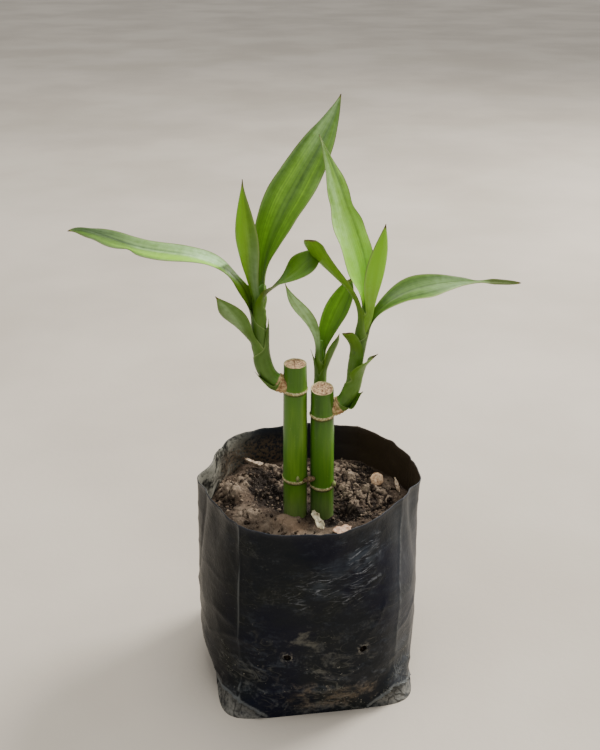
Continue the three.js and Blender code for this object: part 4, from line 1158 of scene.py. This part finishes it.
def soilSkin():
    # rings: out over the underside, up beside the film, and in over the top
    angle = turnsOf(soilPlan["around"])
    zz, aa = grid(soilPlan["wallHeights"], angle)
    radius = bagRadius(aa, zz) + bagRelief(aa, zz)[0] - 2.2 + 1.3 * easeUp(zz, 60, 76)
    radius[0] *= 0.02
    wall = ringed(radius, aa, zz)
    ss, aa = grid(np.linspace(1, 0.004, soilPlan["rings"]), angle)
    brim = 0 * aa[:1] + 80
    top = ringed((bagRadius(aa[:1], brim) + bagRelief(aa[:1], brim)[0] - 0.8) * ss, aa, 0 * aa)
    top[..., 2], marks = soilTop(top[..., 0], top[..., 1])
    rings = np.concatenate([wall, top])
    return rings, {mark: np.concatenate([0 * zz, values]) for mark, values in marks.items()}


def crumbSkins():
    # copies of a 20-sided ball, each stretched, knocked about and turned at random, laid on the soil
    draw = np.random.default_rng(soilPlan["seed"])
    ball = bmesh.new()
    bmesh.ops.create_icosphere(ball, subdivisions=1, radius=1)
    points = np.array([v.co[:] for v in ball.verts])
    faces = np.array([[v.index for v in face.verts] for face in ball.faces])
    ball.free()
    count = soilPlan["crumbs"]
    tries = count * 6
    angle, share = draw.uniform(0, 2 * np.pi, tries), np.sqrt(draw.uniform(0, 1, tries))
    x, y, _ = ringed((bagRadius(angle, 0 * angle + 80) - 2.6) * share, angle, 0 * angle).T
    rough = patches(lambda px, py: np.hypot(x - px, y - py), soilPlan["rough"])
    fromCanes = np.min([np.hypot(x - px, y - py) for px, py in soilPlan["canesAt"]], axis=0)
    clear = fromCanes > soilPlan["crumbsClear"]
    chosen = np.flatnonzero((draw.uniform(0, 1.1, tries) < 0.12 + np.clip(rough, 0, 1)) & clear)[:count]
    x, y, count = x[chosen], y[chosen], len(chosen)
    small, large = soilPlan["crumbSize"]
    size = small + (large - small) * draw.uniform(0, 1, count) ** 3.2
    shape = points * (1 + draw.uniform(-0.22, 0.22, (count, len(points), 1)))
    shape = shape * draw.uniform(0.65, 1.15, (count, 1, 3))
    # a random unit quaternion, real part first, turns each
    turn = unit(draw.normal(size=(count, 1, 4)))
    swing = np.cross(turn[..., 1:], shape)
    shape += 2 * (turn[..., :1] * swing + np.cross(turn[..., 1:], swing))
    z = soilTop(x, y)[0] + size * 0.35
    shape = shape * size[:, None, None] + np.stack([x, y, z], 1)[:, None]
    faces = faces + len(points) * np.arange(count)[:, None, None]
    tint = np.repeat(draw.uniform(0, 1, count), len(points))
    return shape.reshape(-1, 3), faces.reshape(-1, 3), {
        "dark": tint ** 3 * 0.8, "pale": (1 - tint) ** 2 * 0.9, "red": 0 * tint, "rough": 0 * tint + 0.4}


def soilFinish():
    # dry grey-brown potting soil, with painted shade in its cracks and hollows, paler where it is dusted over
    # and painted lighter on raised tops
    f = Finish("potting soil", IOR=1.4, Specular_IOR_Level=0.2)
    pale, red, rough, dark = f.marks("pale", "red", "rough", "dark")
    place = f.place()
    broad = f.noise(place, 90, 4, 0.6)
    grain = f.noise(place, 620, 5, 0.7)
    fine = f.noise(place, 2200, 3, 0.7)
    f.color = f.mix((broad * 0.5 + grain * 0.5).ease(0.35, 0.65), (38, 29, 23), (92, 77, 63))
    # pale dust, and painted light on raised tops
    f.coat(pale.ease(0.1, 0.9) * 0.62, (146, 129, 110))
    f.coat(red.ease(0.2, 0.9) * 0.6, (140, 114, 90))
    f.coat(rough * grain.ease(0.45, 0.7) * 0.3, (58, 44, 36))
    # darker soil, and painted shade in cracks and hollows
    f.coat(dark.ease(0.12, 0.95) * 0.92, (20, 15, 12))
    f.coat(fine.ease(0.4, 0.3) * 0.5, (40, 31, 25))
    f.coat(fine.ease(0.6, 0.7) * 0.5, (182, 166, 146))
    return f.paint(0.92, grain * 1.2 + fine * 0.5, 0.35)


def makeSoil():
    finish = soilFinish()
    addTube("soil_filling", *soilSkin(), finish, "soil", ["soil"], 80)
    points, faces, marks = crumbSkins()
    mesh = makeMesh("soil_crumbs", points, np.zeros((0, 4), int), faces, marks, 35)
    addPiece("soil_crumbs", mesh, finish)
    print("soil ready")


makeSoil()


# Chips and roots on the soil
bitPlans = {
    "bit_curled_chip": dict(half=(5.2, 2.3, 0.55), at=(4.3, -15.6, 84), turn=(15, 26, -65), curl=1.1,
                            ragged=0.22, waist=0.42, light=(214, 204, 172), deep=(150, 136, 106)),
    "bit_flat_chip": dict(half=(4.0, 2.8, 0.45), at=(15.2, -20, 81.8), turn=(12, 4, 25), curl=0.5,
                          ragged=0.35, waist=0, light=(206, 176, 148), deep=(150, 110, 84)),
    "bit_round_chip": dict(half=(3.4, 3.3, 0.8), at=(32.8, 20.5, 83), turn=(35, 0, 0), curl=-0.3,
                           ragged=0.14, waist=0, light=(206, 176, 142), deep=(126, 92, 64)),
    "bit_root": dict(half=(5.0, 1.3, 1.1), at=(-25.8, 33, 84), turn=(0, 4, -32), curl=0.9,
                     ragged=0.45, waist=0.3, light=(190, 172, 150), deep=(112, 92, 72)),
    "bit_stick": dict(half=(5.3, 0.9, 0.8), at=(41.8, 13, 83.6), turn=(0, -32, 104), curl=0.4,
                      ragged=0.3, waist=0, light=(186, 166, 142), deep=(96, 76, 58)),
}


def bitSkin(plan, seed):
    # a flattened ball with an uneven outline, bowed along its length by curl, then turned about X, Y and Z
    v, a = grid(np.linspace(0.05, np.pi - 0.05, 40), turnsOf(72))
    rim = ringed(1, a, 0 * a)
    outline = 1 + plan["ragged"] * (cloud(rim, 0.9, seed, 2) + 0.4 * cloud(rim, 0.25, seed + 3, 2))
    ball = ringed(np.sin(v) ** 0.7 * outline, a, np.sign(np.cos(v)) * np.abs(np.cos(v)) ** 0.6)
    ball[..., 1] *= 1 - plan["waist"] * bell(ball[..., 0] + 0.1, 0.4)
    place = ball * plan["half"]
    place = place * (1 + 0.07 * cloud(place, 1.1, seed + 5, 3)[..., None])
    bow = plan["curl"] * (ball[..., 1] ** 2 + 0.6 * ball[..., 0] ** 2)
    place[..., 2] += bow + 0.16 * cloud(place * [0.4, 1, 1], 0.7, seed + 8, 2)
    return turnedBy(place, plan["turn"]) + plan["at"], {"edge": np.sin(v) ** 4}


def bitFinish(name, light, deep):
    f = Finish(f"{name} dry", IOR=1.45, Specular_IOR_Level=0.25)
    edge, = f.marks("edge")
    grain = f.noise(f.place(), 700, 4, 0.6)
    f.color = f.mix(grain.ease(0.3, 0.68), deep, light)
    f.coat(f.noise(f.place(), 1100, 2).ease(0.62, 0.7) * 0.7, (70, 54, 42))
    f.coat(edge * 0.25, deep)
    return f.paint(0.8, grain, 0.25)


def makeBits():
    for k, (name, plan) in enumerate(bitPlans.items()):
        finish = bitFinish(name, plan["light"], plan["deep"])
        addTube(f"{name}_dry", *bitSkin(plan, 210 + 10 * k), finish, "bit", [name])
    print("chips and roots ready")


makeBits()


# Floor and light
studioPlan = {
    "floor": [(-8, -2, 0), (8, -2, 0), (8, 12, 0), (-8, 12, 0)],      # its corners, in metres
    "sky": (0.96, 0.975, 1.0, 1), "horizonLight": 0.38, "zenithLight": 0.95,
    "lamps": [
        dict(name="overhead", at=(0.1, 0.2, 1.6), turn=(-7, 4, 0), size=0.9, power=17,
             color=(1, 0.985, 0.95)),
        dict(name="from_the_right", at=(1.0, 0.7, 1.1), turn=(-30, 42, 0), size=0.5, power=36,
             color=(1, 0.98, 0.95)),
    ],
}


def floorFinish():
    f = Finish("pale floor", Specular_IOR_Level=0.25)
    fine = f.noise(f.place(), 240, 3)
    f.color = f.mix(f.noise(f.place(), 3.5, 4).ease(0.3, 0.7), (178, 168, 153), (195, 185, 170))
    return f.paint(0.75 + 0.1 * (fine - 0.5), fine, 0.15)


def makeStudio():
    mesh = bpy.data.meshes.new("floor")
    mesh.from_pydata(studioPlan["floor"], [], [(0, 1, 2, 3)])
    mesh.materials.append(floorFinish())
    floor = newObject("floor", mesh)

    world = bpy.data.worlds.new("studio")
    world.use_nodes = True
    air = Nodes(world.node_tree)
    sky = air.tree.nodes["Background"].inputs
    sky["Color"].default_value = studioPlan["sky"]
    up = air.parts(air.add("ShaderNodeTexCoord", output="Generated"))[2]
    low, high = studioPlan["horizonLight"], studioPlan["zenithLight"]
    air.feed(sky["Strength"], low + (high - low) * up.ease(0, 1))
    bpy.context.scene.world = world
    for plan in studioPlan["lamps"]:
        lamp = bpy.data.lights.new(plan["name"], "AREA")
        lamp.shape = "DISK"
        lamp.size, lamp.energy, lamp.color = plan["size"], plan["power"], plan["color"]
        holder = newObject(plan["name"], lamp)
        holder.location = plan["at"]
        holder.rotation_euler = [math.radians(turn) for turn in plan["turn"]]
    print("studio ready")


makeStudio()
